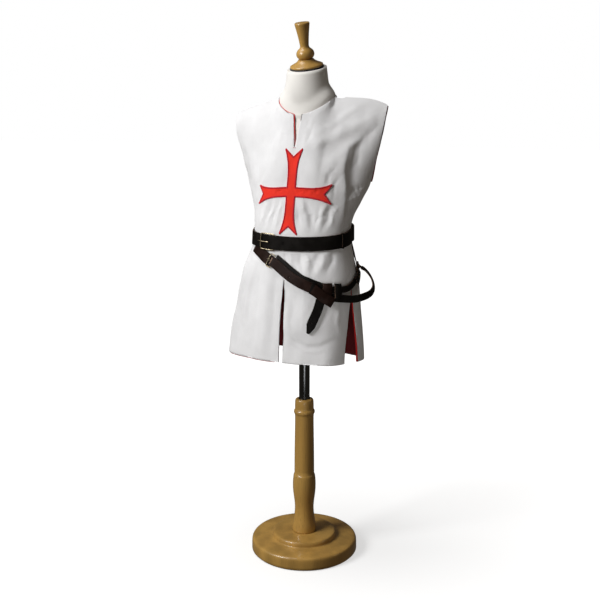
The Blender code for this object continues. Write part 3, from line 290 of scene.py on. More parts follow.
# The middle of the garment from front to back, and the middle and half width of the neckline
BODY_MIDDLE = 0.01
NECK_MIDDLE, NECK_SIDE = 0.015, 0.081

# Where the camera stands, and how far it looks down and to the left, in degrees
CAMERA_PLACE, CAMERA_DOWN, CAMERA_TURN = (1.056, -2.165, 1.2147), 11.6, 26.29

# Square lights: where they stand, what they point at, their size, their share of the key's power
# and the angle of their beam in degrees
Lamp = namedtuple("Lamp", "name place target size share beam")
LAMPS = (
    Lamp("key", (-1.68, -2.49, 2.4), (0.0, 0.0, 0.9), 1.4, 1.0, 180),
    Lamp("top", (-0.9, -0.5, 3.2), (0.0, 0.0, 0.9), 1.2, 0.22, 180),
    Lamp("warm side", (2.6, 0.5, 1.3), (0.0, 0.0, 0.95), 0.9, 0.012, 180),
    Lamp("skirt bounce", (0.36, -0.62, 0.44), (0.13, -0.05, 0.66), 0.3, 0.0011, 55),
)


class SurcoatCloth(bpy.types.PropertyGroup):
    """Cloth colours and creases."""

    white: FloatVectorProperty(
        name="Outer Cloth", description="Colour of the white cotton", subtype="COLOR",
        size=3, default=(0.80, 0.80, 0.81), min=0.0, max=1.0,
    )
    # The lining's dark red is partly its own colour and partly painted shade for the garment's shaded
    # inside
    lining: FloatVectorProperty(
        name="Lining", description="Colour of the red lining", subtype="COLOR",
        size=3, default=(0.16, 0.005, 0.009), min=0.0, max=1.0,
    )
    # Bright copy of the lining's colour for edge strips in the light: painted light
    lining_edge: FloatVectorProperty(
        name="Lining Edge", description="Colour of the lining at an edge that catches the light",
        subtype="COLOR", size=3, default=(0.85, 0.030, 0.030), min=0.0, max=1.0,
    )
    # Darker copy of the lining's colour for edge strips in shade: painted shade
    lining_shade: FloatVectorProperty(
        name="Lining Edge in Shade", description="Colour of the lining at an edge in shade",
        subtype="COLOR", size=3, default=(0.34, 0.012, 0.014), min=0.0, max=1.0,
    )
    applique: FloatVectorProperty(
        name="Cross", description="Colour of the cross's cloth", subtype="COLOR",
        size=3, default=(0.86, 0.030, 0.012), min=0.0, max=1.0,
    )
    thread: FloatVectorProperty(
        name="Edge Thread", description="Colour of the satin stitch round the cross",
        subtype="COLOR", size=3, default=(0.66, 0.006, 0.020), min=0.0, max=1.0,
    )
    crease_strength: FloatProperty(
        name="Creases", description="How strongly the creases show", default=1.0, min=0.0, max=2.0,
    )
    thread_pitch: FloatProperty(
        name="Thread Pitch", description="Distance between threads of the weave",
        default=0.0007, min=0.0002, max=0.003, unit="LENGTH", precision=5,
    )
    stitch_width: FloatProperty(
        name="Satin Stitch", description="Width of the stitched edge of the cross",
        default=0.0042, min=0.001, max=0.006, unit="LENGTH", precision=4,
    )


class SurcoatLeather(bpy.types.PropertyGroup):
    """Colours of the straps and their metal."""

    leather: FloatVectorProperty(
        name="Leather", description="Colour of the strap leather", subtype="COLOR",
        size=3, default=(0.0058, 0.0049, 0.0042), min=0.0, max=1.0,
    )
    cut_edge: FloatVectorProperty(
        name="Cut Edge", description="Colour of the leather's cut edges", subtype="COLOR",
        size=3, default=(0.25, 0.15, 0.095), min=0.0, max=1.0,
    )
    red_brown: FloatVectorProperty(
        name="Knot", description="Colour of the redder leather of the knot", subtype="COLOR",
        size=3, default=(0.0150, 0.0074, 0.0056), min=0.0, max=1.0,
    )
    brass: FloatVectorProperty(
        name="Brass", description="Colour of the antique brass", subtype="COLOR",
        size=3, default=(0.44, 0.37, 0.25), min=0.0, max=1.0,
    )


class SurcoatForm(bpy.types.PropertyGroup):
    """Colours of the dress form and its stand."""

    jersey: FloatVectorProperty(
        name="Jersey", description="Colour of the form's jersey cover", subtype="COLOR",
        size=3, default=(0.86, 0.84, 0.80), min=0.0, max=1.0,
    )
    wood: FloatVectorProperty(
        name="Wood", description="Colour of the varnished wood", subtype="COLOR",
        size=3, default=(0.50, 0.295, 0.075), min=0.0, max=1.0,
    )
    steel: FloatVectorProperty(
        name="Steel", description="Colour of the polished pole", subtype="COLOR",
        size=3, default=(0.13, 0.135, 0.14), min=0.0, max=1.0,
    )


class SurcoatStage(bpy.types.PropertyGroup):
    """Camera and light."""

    lens: FloatProperty(
        name="Lens", description="Focal length on a 36 mm wide frame", default=54.48,
        min=20.0, max=200.0, subtype="DISTANCE_CAMERA",
    )
    key_power: FloatProperty(
        name="Key Light", description="Power of the soft light at the left", default=102.0,
        min=0.0, max=1000.0, unit="POWER",
    )
    fill_strength: FloatProperty(
        name="Fill", description="Strength of the light from all round",
        default=0.08, min=0.0, max=5.0,
    )


def node(tree, kind, inputs=None, **settings):
    """A shader node with its settings, and its inputs set or linked."""
    item = tree.nodes.new(kind)
    for key, value in settings.items():
        setattr(item, key, value)
    for key, value in (inputs or {}).items():
        if isinstance(value, bpy.types.NodeSocket):
            tree.links.new(value, item.inputs[key])
        else:
            item.inputs[key].default_value = value
    return item


def scaled(colour, factor):
    """A colour made darker or lighter."""
    return tuple(min(1.0, c * factor) for c in colour)


def start_material(name, roughness, space="Object", **sockets):
    """A new material with plain numbers set on its shader, its tree, and places on the piece."""
    material = bpy.data.materials.new(name)
    material.use_nodes = True
    tree = material.node_tree
    shader = tree.nodes["Principled BSDF"]
    shader.inputs["Roughness"].default_value = roughness
    for key, value in sockets.items():
        shader.inputs[key.replace("_", " ")].default_value = value
    return material, tree, node(tree, "ShaderNodeTexCoord").outputs[space]


def finish_material(material, **outputs):
    """Link outputs to the material's shader."""
    tree = material.node_tree
    for key, value in outputs.items():
        tree.links.new(value, tree.nodes["Principled BSDF"].inputs[key.replace("_", " ")])
    return material


def mixed(tree, share, first, second):
    """A colour between two, by a share."""
    item = node(tree, "ShaderNodeMix", {0: share}, data_type="RGBA")
    for socket, colour in ((item.inputs[6], first), (item.inputs[7], second)):
        if isinstance(colour, bpy.types.NodeSocket):
            tree.links.new(colour, socket)
        else:
            socket.default_value = (*colour, 1.0)
    return item.outputs[2]


def spread(tree, value, low, high, to_low=0.0, to_high=1.0):
    """A value stretched from one range to another."""
    return node(
        tree, "ShaderNodeMapRange", {0: value, 1: low, 2: high, 3: to_low, 4: to_high}
    ).outputs[0]


def noise(tree, place, scale, detail=3.0, stretch=(1.0, 1.0, 1.0)):
    """Noise over a place, finer along the axes with a larger stretch."""
    mapping = node(tree, "ShaderNodeMapping", {"Vector": place, "Scale": stretch})
    return node(
        tree, "ShaderNodeTexNoise",
        {"Vector": mapping.outputs[0], "Scale": scale, "Detail": detail},
    ).outputs[0]


def bump(tree, height, distance, strength, under=None):
    """Relief from a height between 0 and 1."""
    inputs = {"Height": height, "Distance": distance, "Strength": strength}
    if under:
        inputs["Normal"] = under
    return node(tree, "ShaderNodeBump", inputs).outputs[0]


def wave_scale(pitch):
    """The scale at which a wave texture repeats at a pitch."""
    return math.pi / 10.0 / pitch


def wave(tree, place, direction, scale, distortion, detail, detail_scale=1.0):
    """Waves along one direction of a place."""
    inputs = {
        "Vector": place, "Scale": scale, "Distortion": distortion, "Detail": detail,
        "Detail Scale": detail_scale,
    }
    return node(tree, "ShaderNodeTexWave", inputs, bands_direction=direction).outputs["Fac"]


def weave(tree, place, pitch):
    """Height of a plain weave with threads of a pitch along both directions of the cloth."""
    waves = [wave(tree, place, direction, wave_scale(pitch), 0.6, 1.0, 0.4) for direction in "XY"]
    return node(tree, "ShaderNodeMath", {0: waves[0], 1: waves[1]}, operation="MULTIPLY").outputs[0]


def woven_cloth(name, colour, pitch, relief=0.35, variation=0.08, sheen=0.2, roughness=0.85):
    """Woven cloth: threads, slubs, soft unevenness of colour and small handling wrinkles."""
    material, tree, place = start_material(
        name, roughness, Sheen_Weight=sheen, Sheen_Roughness=0.5, Specular_IOR_Level=0.25
    )
    flat = node(tree, "ShaderNodeTexCoord").outputs["UV"]
    threads = weave(tree, flat, pitch)
    slubs = noise(tree, flat, 900.0, 2.0, (0.15, 1.0, 1.0))
    patches = noise(tree, place, 14.0, 4.0)
    dark, light = scaled(colour, 1.0 - variation), scaled(colour, 1.0 + variation * 0.4)
    tone = mixed(tree, spread(tree, patches, 0.35, 0.65), dark, light)
    worked = mixed(tree, spread(tree, slubs, 0.3, 0.7, 0.0, 0.35), tone, dark)
    wrinkles = bump(tree, noise(tree, place, 38.0, 3.0, (1.0, 1.0, 0.45)), 0.0035, 0.22)
    relief = bump(tree, threads, 0.0004, relief, bump(tree, slubs, 0.0003, 0.25, wrinkles))
    return finish_material(material, Base_Color=worked, Normal=relief)


def satin_stitch(name, colour, pitch=0.0005):
    """Threads laid side by side across an edge."""
    material, tree, place = start_material(
        name, 0.55, "UV", Sheen_Weight=0.1, Sheen_Roughness=0.4, Specular_IOR_Level=0.3
    )
    threads = wave(tree, place, "X", wave_scale(pitch), 0.8, 1.0)
    tone = mixed(tree, threads, scaled(colour, 0.74), colour)
    return finish_material(material, Base_Color=tone, Normal=bump(tree, threads, 0.0004, 0.6))


def strap_leather(name, colour, gloss=0.5):
    """Dyed strap leather: fine grain, pores, scuffs and a soft waxed shine."""
    material, tree, place = start_material(name, gloss + 0.08, Specular_IOR_Level=0.06)
    cells = node(tree, "ShaderNodeTexVoronoi", {"Vector": place, "Scale": 850.0}).outputs[0]
    scuffs = noise(tree, place, 45.0, 6.0)
    worn = tuple(min(1.0, c * 2.0 + 0.002) for c in colour)
    tone = mixed(tree, spread(tree, scuffs, 0.45, 0.75, 0.0, 0.8), colour, worn)
    pores = mixed(tree, spread(tree, cells, 0.0, 0.5, 0.5, 0.0), tone, scaled(colour, 0.4))
    shine = spread(tree, scuffs, 0.3, 0.7, gloss - 0.1, gloss + 0.14)
    folds = bump(tree, noise(tree, place, 120.0, 4.0), 0.0008, 0.3)
    grain = bump(tree, cells, 0.0003, 0.35, folds)
    return finish_material(material, Base_Color=pores, Roughness=shine, Normal=grain)


def leather_edge(name, colour):
    """The fibrous cut edge of a strap, burnished in places."""
    material, tree, place = start_material(name, 0.6, Specular_IOR_Level=0.3)
    fibre = noise(tree, place, 420.0, 5.0)
    tone = mixed(tree, spread(tree, fibre, 0.35, 0.65), scaled(colour, 0.45), colour)
    burnish = spread(tree, noise(tree, place, 30.0, 2.0), 0.4, 0.62, 0.0, 0.4)
    worked = mixed(tree, burnish, tone, scaled(colour, 0.3))
    return finish_material(material, Base_Color=worked, Normal=bump(tree, fibre, 0.0005, 0.5))


def antique_brass(name, colour):
    """Cast brass, darkened by tarnish in random patches and brighter where it is rubbed."""
    material, tree, place = start_material(name, 0.32, Metallic=1.0)
    tarnish = noise(tree, place, 160.0, 5.0)
    tone = mixed(tree, spread(tree, tarnish, 0.42, 0.62), colour, scaled(colour, 0.38))
    shine = spread(tree, tarnish, 0.35, 0.7, 0.26, 0.5)
    pits = bump(tree, noise(tree, place, 700.0, 3.0), 0.0002, 0.3)
    return finish_material(material, Base_Color=tone, Roughness=shine, Normal=pits)


def knitted_jersey(name, colour):
    """Fine cream jersey drawn tight over the form."""
    material, tree, place = start_material(
        name, 0.9, Sheen_Weight=0.25, Sheen_Roughness=0.6, Specular_IOR_Level=0.2
    )
    loops = wave(tree, place, "Z", 420.0, 2.0, 2.0, 1.6)
    cloud = spread(tree, noise(tree, place, 9.0, 4.0), 0.35, 0.65)
    soft = bump(tree, noise(tree, place, 60.0, 3.0), 0.0012, 0.2)
    return finish_material(
        material, Base_Color=mixed(tree, cloud, scaled(colour, 0.9), colour),
        Normal=bump(tree, loops, 0.0003, 0.25, soft),
    )


def varnished_wood(name, colour):
    """Light hardwood under glossy varnish: long grain, flecks and redder clouds."""
    material, tree, place = start_material(
        name, 0.36, Coat_Weight=0.5, Coat_Roughness=0.12, Specular_IOR_Level=0.4
    )
    rings = noise(tree, place, 20.0, 5.0, (1.0, 1.0, 0.07))
    flecks = noise(tree, place, 320.0, 3.0, (1.0, 1.0, 0.05))
    clouds = noise(tree, place, 7.0, 3.0)
    grain = mixed(tree, spread(tree, rings, 0.38, 0.62), scaled(colour, 0.78), scaled(colour, 1.12))
    flecked = mixed(tree, spread(tree, flecks, 0.56, 0.75, 0.0, 0.5), grain, scaled(colour, 0.4))
    redder = (colour[0], colour[1] * 0.82, colour[2] * 0.7)
    toned = mixed(tree, spread(tree, clouds, 0.35, 0.7, 0.0, 0.2), flecked, redder)
    return finish_material(material, Base_Color=toned, Normal=bump(tree, flecks, 0.0003, 0.12))


def polished_steel(name, colour):
    """Dark plated tube with faint rubbed lines round it from the column."""
    material, tree, place = start_material(name, 0.16, Metallic=1.0)
    lines = noise(tree, place, 60.0, 4.0, (0.2, 0.2, 12.0))
    haze = spread(tree, noise(tree, place, 14.0, 3.0), 0.35, 0.65)
    tone = mixed(tree, haze, scaled(colour, 0.7), colour)
    shine = spread(tree, lines, 0.3, 0.75, 0.1, 0.28)
    return finish_material(material, Base_Color=tone, Roughness=shine)


def felt(name, colour):
    """Dark pressed felt."""
    material, tree, place = start_material(name, 0.95, Sheen_Weight=0.2)
    fuzz = noise(tree, place, 500.0, 5.0)
    tone = mixed(tree, fuzz, scaled(colour, 0.4), scaled(colour, 1.8))
    return finish_material(material, Base_Color=tone, Normal=bump(tree, fuzz, 0.0006, 0.6))


def finish_shape(shape, name, levels):
    """An object from a bmesh, smoothed by subdivision with its creased edges kept."""
    mesh = bpy.data.meshes.new(name)
    shape.to_mesh(mesh)
    shape.free()
    obj = bpy.data.objects.new(name, mesh)
    bpy.context.scene.collection.objects.link(obj)
    if levels:
        smooth = obj.modifiers.new("smooth", "SUBSURF")
        smooth.levels = smooth.render_levels = levels
        apply_modifiers(obj)
    obj.data.shade_smooth()
    obj.data.set_sharp_from_angle(angle=math.radians(48))
    return obj


def apply_modifiers(obj):
    """Replace the object's mesh by its mesh with modifiers applied."""
    depsgraph = bpy.context.evaluated_depsgraph_get()
    worked = bpy.data.meshes.new_from_object(obj.evaluated_get(depsgraph))
    obj.modifiers.clear()
    obj.data = worked


def welded(name):
    """A solid's mesh as a bmesh of quads where its triangles pair up."""
    shape = bmesh.new()
    shape.from_mesh(NODES[name].data)
    bmesh.ops.remove_doubles(shape, verts=shape.verts, dist=1e-5)
    bmesh.ops.join_triangles(
        shape, faces=shape.faces, angle_face_threshold=math.radians(38),
        angle_shape_threshold=math.radians(120),
    )
    bmesh.ops.recalc_face_normals(shape, faces=shape.faces)
    return shape


def keep_edges(shape, angle):
    """Crease every edge that bends more than an angle, in degrees."""
    layers = shape.edges.layers.float
    layer = layers.get("crease_edge") or layers.new("crease_edge")
    for edge in shape.edges:
        if len(edge.link_faces) == 2 and edge.calc_face_angle(0.0) > math.radians(angle):
            edge[layer] = 1.0


def dress(obj, names, body, slot, *materials):
    """Give a piece its materials, hang it on its body's empty and hide the solids it replaces."""
    for material in materials:
        obj.data.materials.append(material)
    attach(obj, body)
    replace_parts(obj, *names)
    return obj


def cloth_map(obj):
    """Map the cloth in metres, round the body and up it, so that the weave has its true size."""
    mesh, points = obj.data, mesh_points(obj.data)
    around = np.arctan2(points[:, 0], -(points[:, 1] - BODY_MIDDLE)) * 0.15
    corners = np.empty(len(mesh.loops), dtype=np.int32)
    mesh.loops.foreach_get("vertex_index", corners)
    places = np.stack((around[corners], points[corners, 2]), axis=1)
    layer = mesh.uv_layers.new(name="cloth")
    layer.data.foreach_set("uv", places.ravel())


def mesh_points(mesh):
    """All vertex places of a mesh as an array."""
    points = np.empty(len(mesh.vertices) * 3)
    mesh.vertices.foreach_get("co", points)
    return points.reshape(-1, 3)


def put_points(obj, points):
    """Move an object's vertices to new places."""
    obj.data.vertices.foreach_set("co", points.ravel())
    obj.data.update()


def object_tree(obj):
    """An object's surface, to measure from."""
    return BVHTree.FromObject(obj, bpy.context.evaluated_depsgraph_get())


def mesh_normals(mesh):
    """All vertex normals of a mesh as an array."""
    normals = np.empty(len(mesh.vertices) * 3)
    mesh.vertex_normals.foreach_get("vector", normals)
    return normals.reshape(-1, 3)


def outward(points):
    """Roughly the direction out of the garment at each point, upward on the shoulders."""
    away = points - (0.0, BODY_MIDDLE, 0.0)
    away[:, 2] = np.clip((points[:, 2] - 1.15) / 0.08, 0.0, 1.0) * 0.12
    return away


def ease(value):
    """0 below 0, 1 above 1 and smooth between."""
    value = np.clip(value, 0.0, 1.0)
    return value * value * (3.0 - 2.0 * value)


def crease_line(panel, crease, tree):
    """Places on the cloth along a crease, with the way that the cloth faces at each."""
    places = np.array(crease[3:]).reshape(-1, 2) * CM
    steps = np.linalg.norm(np.diff(places, axis=0), axis=1)
    lengths = np.concatenate(([0.0], np.cumsum(steps)))
    at = np.linspace(0.0, lengths[-1], max(3, int(lengths[-1] / CREASE_STEP)))
    xs, zs = np.interp(at, lengths, places[:, 0]), np.interp(at, lengths, places[:, 1])
    bend = at / lengths[-1]
    xs = xs + 0.0016 * np.sin(bend * 9.0 + crease[1] * 7.0 + places[0, 0] * 90.0)
    side = -1.0 if panel == "front" else 1.0
    found = []
    for x, z in zip(xs, zs):
        hit = tree.ray_cast(Vector((x, side * 0.5, z)), Vector((0.0, -side, 0.0)))
        if hit[0] is not None:
            found.append((*hit[0], *hit[1]))
    return np.array(found)


def crease_heights(points, panel, tree, strength):
    """How far the creases of one panel raise each point of its outside."""
    heights = np.zeros(len(points))
    for number, crease in enumerate(CREASES[panel]):
        line = crease_line(panel, crease, tree)
        if len(line) < 3:
            continue
        height, width, lean = crease[0] * CM, crease[1] * CM, crease[2]
        low, high = line[:, :3].min(axis=0) - 3 * width, line[:, :3].max(axis=0) + 3 * width
        near = np.flatnonzero(np.all((points > low) & (points < high), axis=1))
        away = points[near, None, :] - line[None, :, :3]
        distance = np.linalg.norm(away, axis=2)
        closest = distance.argmin(axis=1)
        along = np.gradient(line[:, :3], axis=0)
        across = np.cross(along, line[:, 3:])
        across /= np.linalg.norm(across, axis=1, keepdims=True)
        nearest = np.arange(len(near)), closest
        offset = np.einsum("ij,ij->i", away[nearest], across[closest])
        share = closest / (len(line) - 1)
        flank = 1.0 + lean * np.tanh(offset / width)
        beyond = distance[nearest]
        uneven = 1.0 + 0.22 * np.sin(share * 11.0 + number * 1.7)
        uneven += 0.12 * np.sin(share * 23.0 + number)
        fade = np.sin(np.pi * np.clip(0.10 + 0.80 * share, 0.0, 1.0)) ** 1.2
        profile = np.exp(-((beyond / (width * flank * 1.05)) ** 2))
        heights[near] += height * strength * uneven * fade * profile
    return heights


def soft_ripples(points):
    """The cloth's own small unevenness, a fraction of a millimetre."""
    x, y, z = points.T
    return 0.0004 * (
        np.sin(61.0 * x + 23.0 * z + 2.0 * np.sin(17.0 * z))
        + np.sin(37.0 * z - 41.0 * y + 1.3)
        + 0.7 * np.sin(97.0 * x - 53.0 * z + 3.0 * np.sin(29.0 * x))
    )


def distances(points, tree):
    """How far each point is from a surface, up to a limit."""
    return np.array([min(NEAR, tree.find_nearest(Vector(p), NEAR)[3] or NEAR) for p in points])


def stay_flat(points, straps):
    """1 where the cloth is free, falling to 0 at the belt, and the same for the hanger's straps."""
    middle = BELT_MIDDLE + BELT_RISE * (points[:, 1] - BELT_SIDE)
    free = ease((np.abs(points[:, 2] - middle) - BELT_HALF) / 0.009)
    return free, ease((distances(points, straps) - 0.0035) / 0.012)


def node_tree(*names):
    """Several solids as one surface to measure from."""
    points, faces = [], []
    for name in names:
        mesh = NODES[name].data
        start = len(points)
        points += [vertex.co.copy() for vertex in mesh.vertices]
        faces += [[start + i for i in polygon.vertices] for polygon in mesh.polygons]
    return BVHTree.FromPolygons(points, faces)


def neckline_distance(points):
    """Level distance outside the round neckline."""
    across, deep = points[:, 0] / NECK_SIDE, (points[:, 1] - NECK_MIDDLE) / 0.060
    return np.hypot(across, deep) * 0.065 - 0.065


class Drape:
    """The creases of the outer cloth, read by every piece that lies with it."""

    def __init__(self):
        self.places, self.moves = [], []
        self.tree = None

    def add(self, panel, obj, straps, strength):
        points, normals = mesh_points(obj.data), mesh_normals(obj.data)
        outer = np.einsum("ij,ij->i", normals, outward(points)) > 0.0
        edges = np.empty(len(obj.data.edges) * 2, dtype=np.int32)
        obj.data.edges.foreach_get("vertices", edges)
        edges = edges.reshape(-1, 2)
        number = np.cumsum(outer) - 1
        pairs = number[edges[outer[edges].all(axis=1)]]
        points, normals = points[outer], normals[outer]
        surface = node_tree(f"surcoat_{panel}_outer")
        heights = crease_heights(points, panel, surface, strength) + soft_ripples(points)
        belt, clear = stay_flat(points, straps)
        heights = np.where(heights > 0.0, heights * clear, heights) * belt
        heights = np.maximum(heights, DEEPEST_CREASE)
        seam = self.edge_share(points, panel)
        beside = np.hypot(np.abs(points[:, 0]) - 0.077, (points[:, 2] - 1.212) * 0.5)
        held = ease((0.038 - beside) / 0.02)
        held *= ease((neckline_distance(points) - 0.001) / 0.006)
        moves = smoothing_moves(points, pairs, held) + fitting_moves(points) * belt[:, None]
        self.places.append(points)
        self.moves.append(moves + normals * (heights * seam)[:, None])

    def edge_share(self, points, panel):
        """Less movement at the side and shoulder seams, so that front and back stay together."""
        other = node_tree("surcoat_back_outer" if panel == "front" else "surcoat_front_outer")
        return 0.15 + 0.85 * ease((distances(points, other) - 0.001) / 0.014)

    def ready(self):
        places = np.concatenate(self.places)
        self.moves = np.concatenate(self.moves)
        self.tree = KDTree(len(places))
        for i, place in enumerate(places):
            self.tree.insert(place, i)
        self.tree.balance()

    def move(self, points):
        """How far each point goes with the cloth nearest to it."""
        moved = np.zeros_like(points)
        for i, point in enumerate(points):
            found = self.tree.find_n(point, 3)
            weights = np.array([1.0 / (item[2] + 1e-5) for item in found])
            moved[i] = weights @ self.moves[[item[1] for item in found]] / weights.sum()
        return moved

    def lay(self, obj):
        """Move a whole piece with the cloth."""
        points = mesh_points(obj.data)
        put_points(obj, points + self.move(points))


DRAPE = Drape()


def cloth_piece(name, source, levels):
    """A finer cloth shell on its solid's own form, its cut edges marked by a second material."""
    shape = welded(source)
    keep_edges(shape, 50.0)
    for face in shape.faces:
        if min(edge.calc_length() for edge in face.edges) < CLOTH_EDGE:
            face.material_index = 1
    return finish_shape(shape, name, levels)


def edge_lines(obj):
    """Lines of vertices along the outside edges of a cloth shell, and how its cut edge faces."""
    shape = bmesh.new()
    shape.from_mesh(obj.data)
    shape.normal_update()
    links = {}
    for edge in shape.edges:
        rim = [face for face in edge.link_faces if face.material_index == 1]
        side = [face for face in edge.link_faces if face.material_index == 0]
        if len(rim) != 1 or len(side) != 1:
            continue
        middle = np.array([side[0].calc_center_median()])
        if outward(middle)[0] @ np.array(side[0].normal) > 0:
            a, b = edge.verts
            links.setdefault(a, []).append((b, rim[0].normal))
            links.setdefault(b, []).append((a, rim[0].normal))
    lines, seen = [], set()
    for start in sorted(links, key=lambda item: (len(links[item]) != 1, -item.co.z)):
        line = []
        vert = None if start in seen else start
        while vert is not None:
            seen.add(vert)
            facing = sum((normal for _, normal in links[vert]), Vector()).normalized()
            line.append((np.array(vert.co), np.array(facing)))
            ahead = [other for other, _ in links[vert] if other not in seen]
            vert = ahead[0] if ahead else None
        lines.append(line)
    shape.free()
    return lines


def runs_within(lines, low, high):
    """The parts of some lines inside a box, as lists of places and facings."""
    runs = []
    for line in lines:
        run = []
        for place, facing in line:
            if all(low <= place) and all(place <= high):
                run.append((place, facing))
            else:
                runs.append(run)
                run = []
        runs.append(run)
    return [run for run in runs if len(run) > 4]


def directions(places):
    """The unit direction along a line at each of its places."""
    along = np.gradient(places, axis=0)
    return along / np.linalg.norm(along, axis=1, keepdims=True)


def loft(shape, rings):
    """A closed solid over rings of places, and its faces, with the two ends last."""
    rings = [[shape.verts.new(place) for place in ring] for ring in rings]
    count = len(rings[0])
    faces = [
        shape.faces.new((first[k], first[(k + 1) % count], second[(k + 1) % count], second[k]))
        for first, second in zip(rings, rings[1:]) for k in range(count)
    ]
    faces += [shape.faces.new(rings[0][::-1]), shape.faces.new(rings[-1])]
    bmesh.ops.recalc_face_normals(shape, faces=faces)
    return faces


def line_piece(name, rings, slot, material):
    """A thin line of cloth or stitches on the garment, over rings of places."""
    shape = bmesh.new()
    loft(shape, rings)
    return added_piece(shape, name, slot, material)


def added_piece(shape, name, slot, *materials):
    """A piece of the garment that has no solid of its own."""
    obj = finish_shape(shape, name, 0)
    for material in materials:
        obj.data.materials.append(material)
    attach(obj, "form")
    return obj


def cord_rings(places, radius, sides=6):
    """Rings of a thin round line through places."""
    angles = [2 * math.pi * k / sides for k in range(sides)]
    circle = [Vector((math.cos(angle), math.sin(angle), 0.0)) for angle in angles]
    for place, way in zip(places, directions(np.asarray(places))):
        turn = Vector(way).to_track_quat("Z", "Y")
        yield [Vector(place) + turn @ point * radius for point in circle]


def fold_rings(places, fold, widths):
    """Rings of a narrow fold of cloth along places, laid in one direction from them."""
    fold = np.asarray(fold) / np.linalg.norm(fold)
    for place, way, width in zip(places, directions(np.asarray(places)), widths):
        out = np.cross(way, fold) * FOLD_HALF
        yield [place + fold * width * a + out * b for a, b in FOLD_PROFILE]


def smoothing_moves(points, pairs, weights):
    """How far each point moves when hollows and bumps are smoothed out where weights are high."""
    places = points.copy()
    count = np.bincount(pairs.ravel(), minlength=len(points)).astype(float)
    for _ in range(NECK_ROUNDS):
        total = np.zeros_like(places)
        for axis in range(3):
            total[:, axis] = np.bincount(pairs[:, 0], places[pairs[:, 1], axis], len(points))
            total[:, axis] += np.bincount(pairs[:, 1], places[pairs[:, 0], axis], len(points))
        mean = total / np.maximum(count, 1.0)[:, None]
        places += (mean - places) * (weights * 0.6)[:, None]
    return places - points


def fitting_moves(points):
    """The wearer's right side, set a little wider at the shoulder and closer at the waist."""
    x, _, z = points.T
    moves = np.zeros_like(points)
    shoulder = ease((-x - 0.12) / 0.08) * np.exp(-(((z - 1.185) / 0.05) ** 2))
    waist = ease((-x - 0.07) / 0.05) * np.exp(-(((z - 0.965) / 0.035) ** 2))
    moves[:, 0] = -0.008 * shoulder + 0.006 * waist
    return moves


class SURCOAT_OT_outer_cloth(bpy.types.Operator):
    """Make the white front and back with their creases"""

    bl_idname = "surcoat.outer_cloth"
    bl_label = "Outer Cloth"

    def execute(self, context):
        cloth = context.scene.surcoat_cloth
        material = woven_cloth("white cotton twill", tuple(cloth.white), cloth.thread_pitch)
        straps = node_tree(*STRAPS)
        made = {}
        for panel in ("front", "back"):
            made[panel] = cloth_piece(f"surcoat_{panel}_cotton", f"surcoat_{panel}_outer", 3)
            DRAPE.add(panel, made[panel], straps, cloth.crease_strength)
        DRAPE.ready()
        for panel, obj in made.items():
            DRAPE.lay(obj)
            cloth_map(obj)
            dress(obj, [f"surcoat_{panel}_outer"], "form", "white_cloth", material, material)
        return {"FINISHED"}


class SURCOAT_OT_lining(bpy.types.Operator):
    """Make the red lining of the front and the back"""

    bl_idname = "surcoat.lining"
    bl_label = "Lining"

    def execute(self, context):
        cloth = context.scene.surcoat_cloth
        # The lining's colour is partly painted shade for the garment's shaded inside
        material = woven_cloth(
            "dark red lining", tuple(cloth.lining), cloth.thread_pitch * 0.8, 0.3, 0.2, 0.15, 0.7
        )
        # Two copies of the edge lining: a bright one with painted light and a darker one with painted shade
        lit, shaded = (
            woven_cloth(name, tuple(colour), cloth.thread_pitch, 0.3, 0.2, 0.1)
            for name, colour in (
                ("red lining edge", cloth.lining_edge),
                ("red lining edge in shade", cloth.lining_shade),
            )
        )
        for panel, width, length, area in LINING_SHEETS:
            obj = cloth_piece(f"surcoat_{panel}_red_lining", f"surcoat_{panel}_lining", 2)
            DRAPE.lay(obj)
            cloth_map(obj)
            dress(obj, [f"surcoat_{panel}_lining"], "form", "red_lining", material, material)
            self.lines(obj, panel, lit, shaded)
        return {"FINISHED"}

    def lines(self, obj, panel, lit, shaded):
        """Narrow folds of lining along the cloth's edges."""
        edges, made = edge_lines(obj), []
        for peek in PEEKS:
            if peek.panel != panel:
                continue
            for number, run in enumerate(runs_within(edges, peek.low, peek.high)):
                heights = [place[2] for place, _ in run]
                share = (np.array(heights) - min(heights)) / max(1e-6, max(heights) - min(heights))
                widths = (peek.low_width + (peek.high_width - peek.low_width) * share) * 0.001
                places = [place + facing * FOLD_CLEAR for place, facing in run]
                rings = fold_rings(places, peek.fold, widths)
                # Strips on the listed edges take the copy with painted light, the others the copy with
                # painted shade
                material = lit if peek.name.split("_lining")[0] in PAINTED_LIGHT_EDGES else shaded
                made.append(line_piece(f"{peek.name}_{number + 1}", rings, "red_lining", material))
        return made


def boundary_loop(obj, facing):
    """Places round the front face's edge of a flat piece, in order, and its outside normals."""
    shape = bmesh.new()
    shape.from_mesh(obj.data)
    shape.normal_update()
    front = {face for face in shape.faces if face.normal.dot(facing) > 0.45}
    links = {}
    for edge in shape.edges:
        if sum(face in front for face in edge.link_faces) == 1:
            a, b = edge.verts
            links.setdefault(a, []).append(b)
            links.setdefault(b, []).append(a)
    start = max(links, key=lambda vert: vert.co.z)
    order, last = [start], None
    while True:
        ahead = [vert for vert in links[order[-1]] if vert is not last]
        last = order[-1]
        if not ahead or ahead[0] is start:
            break
        order.append(ahead[0])
    places = np.array([vert.co for vert in order])
    normals = []
    for vert in order:
        faces = [face.normal for face in vert.link_faces if face in front]
        normals.append(sum(faces, Vector()).normalized())
    shape.free()
    return places, np.array(normals)


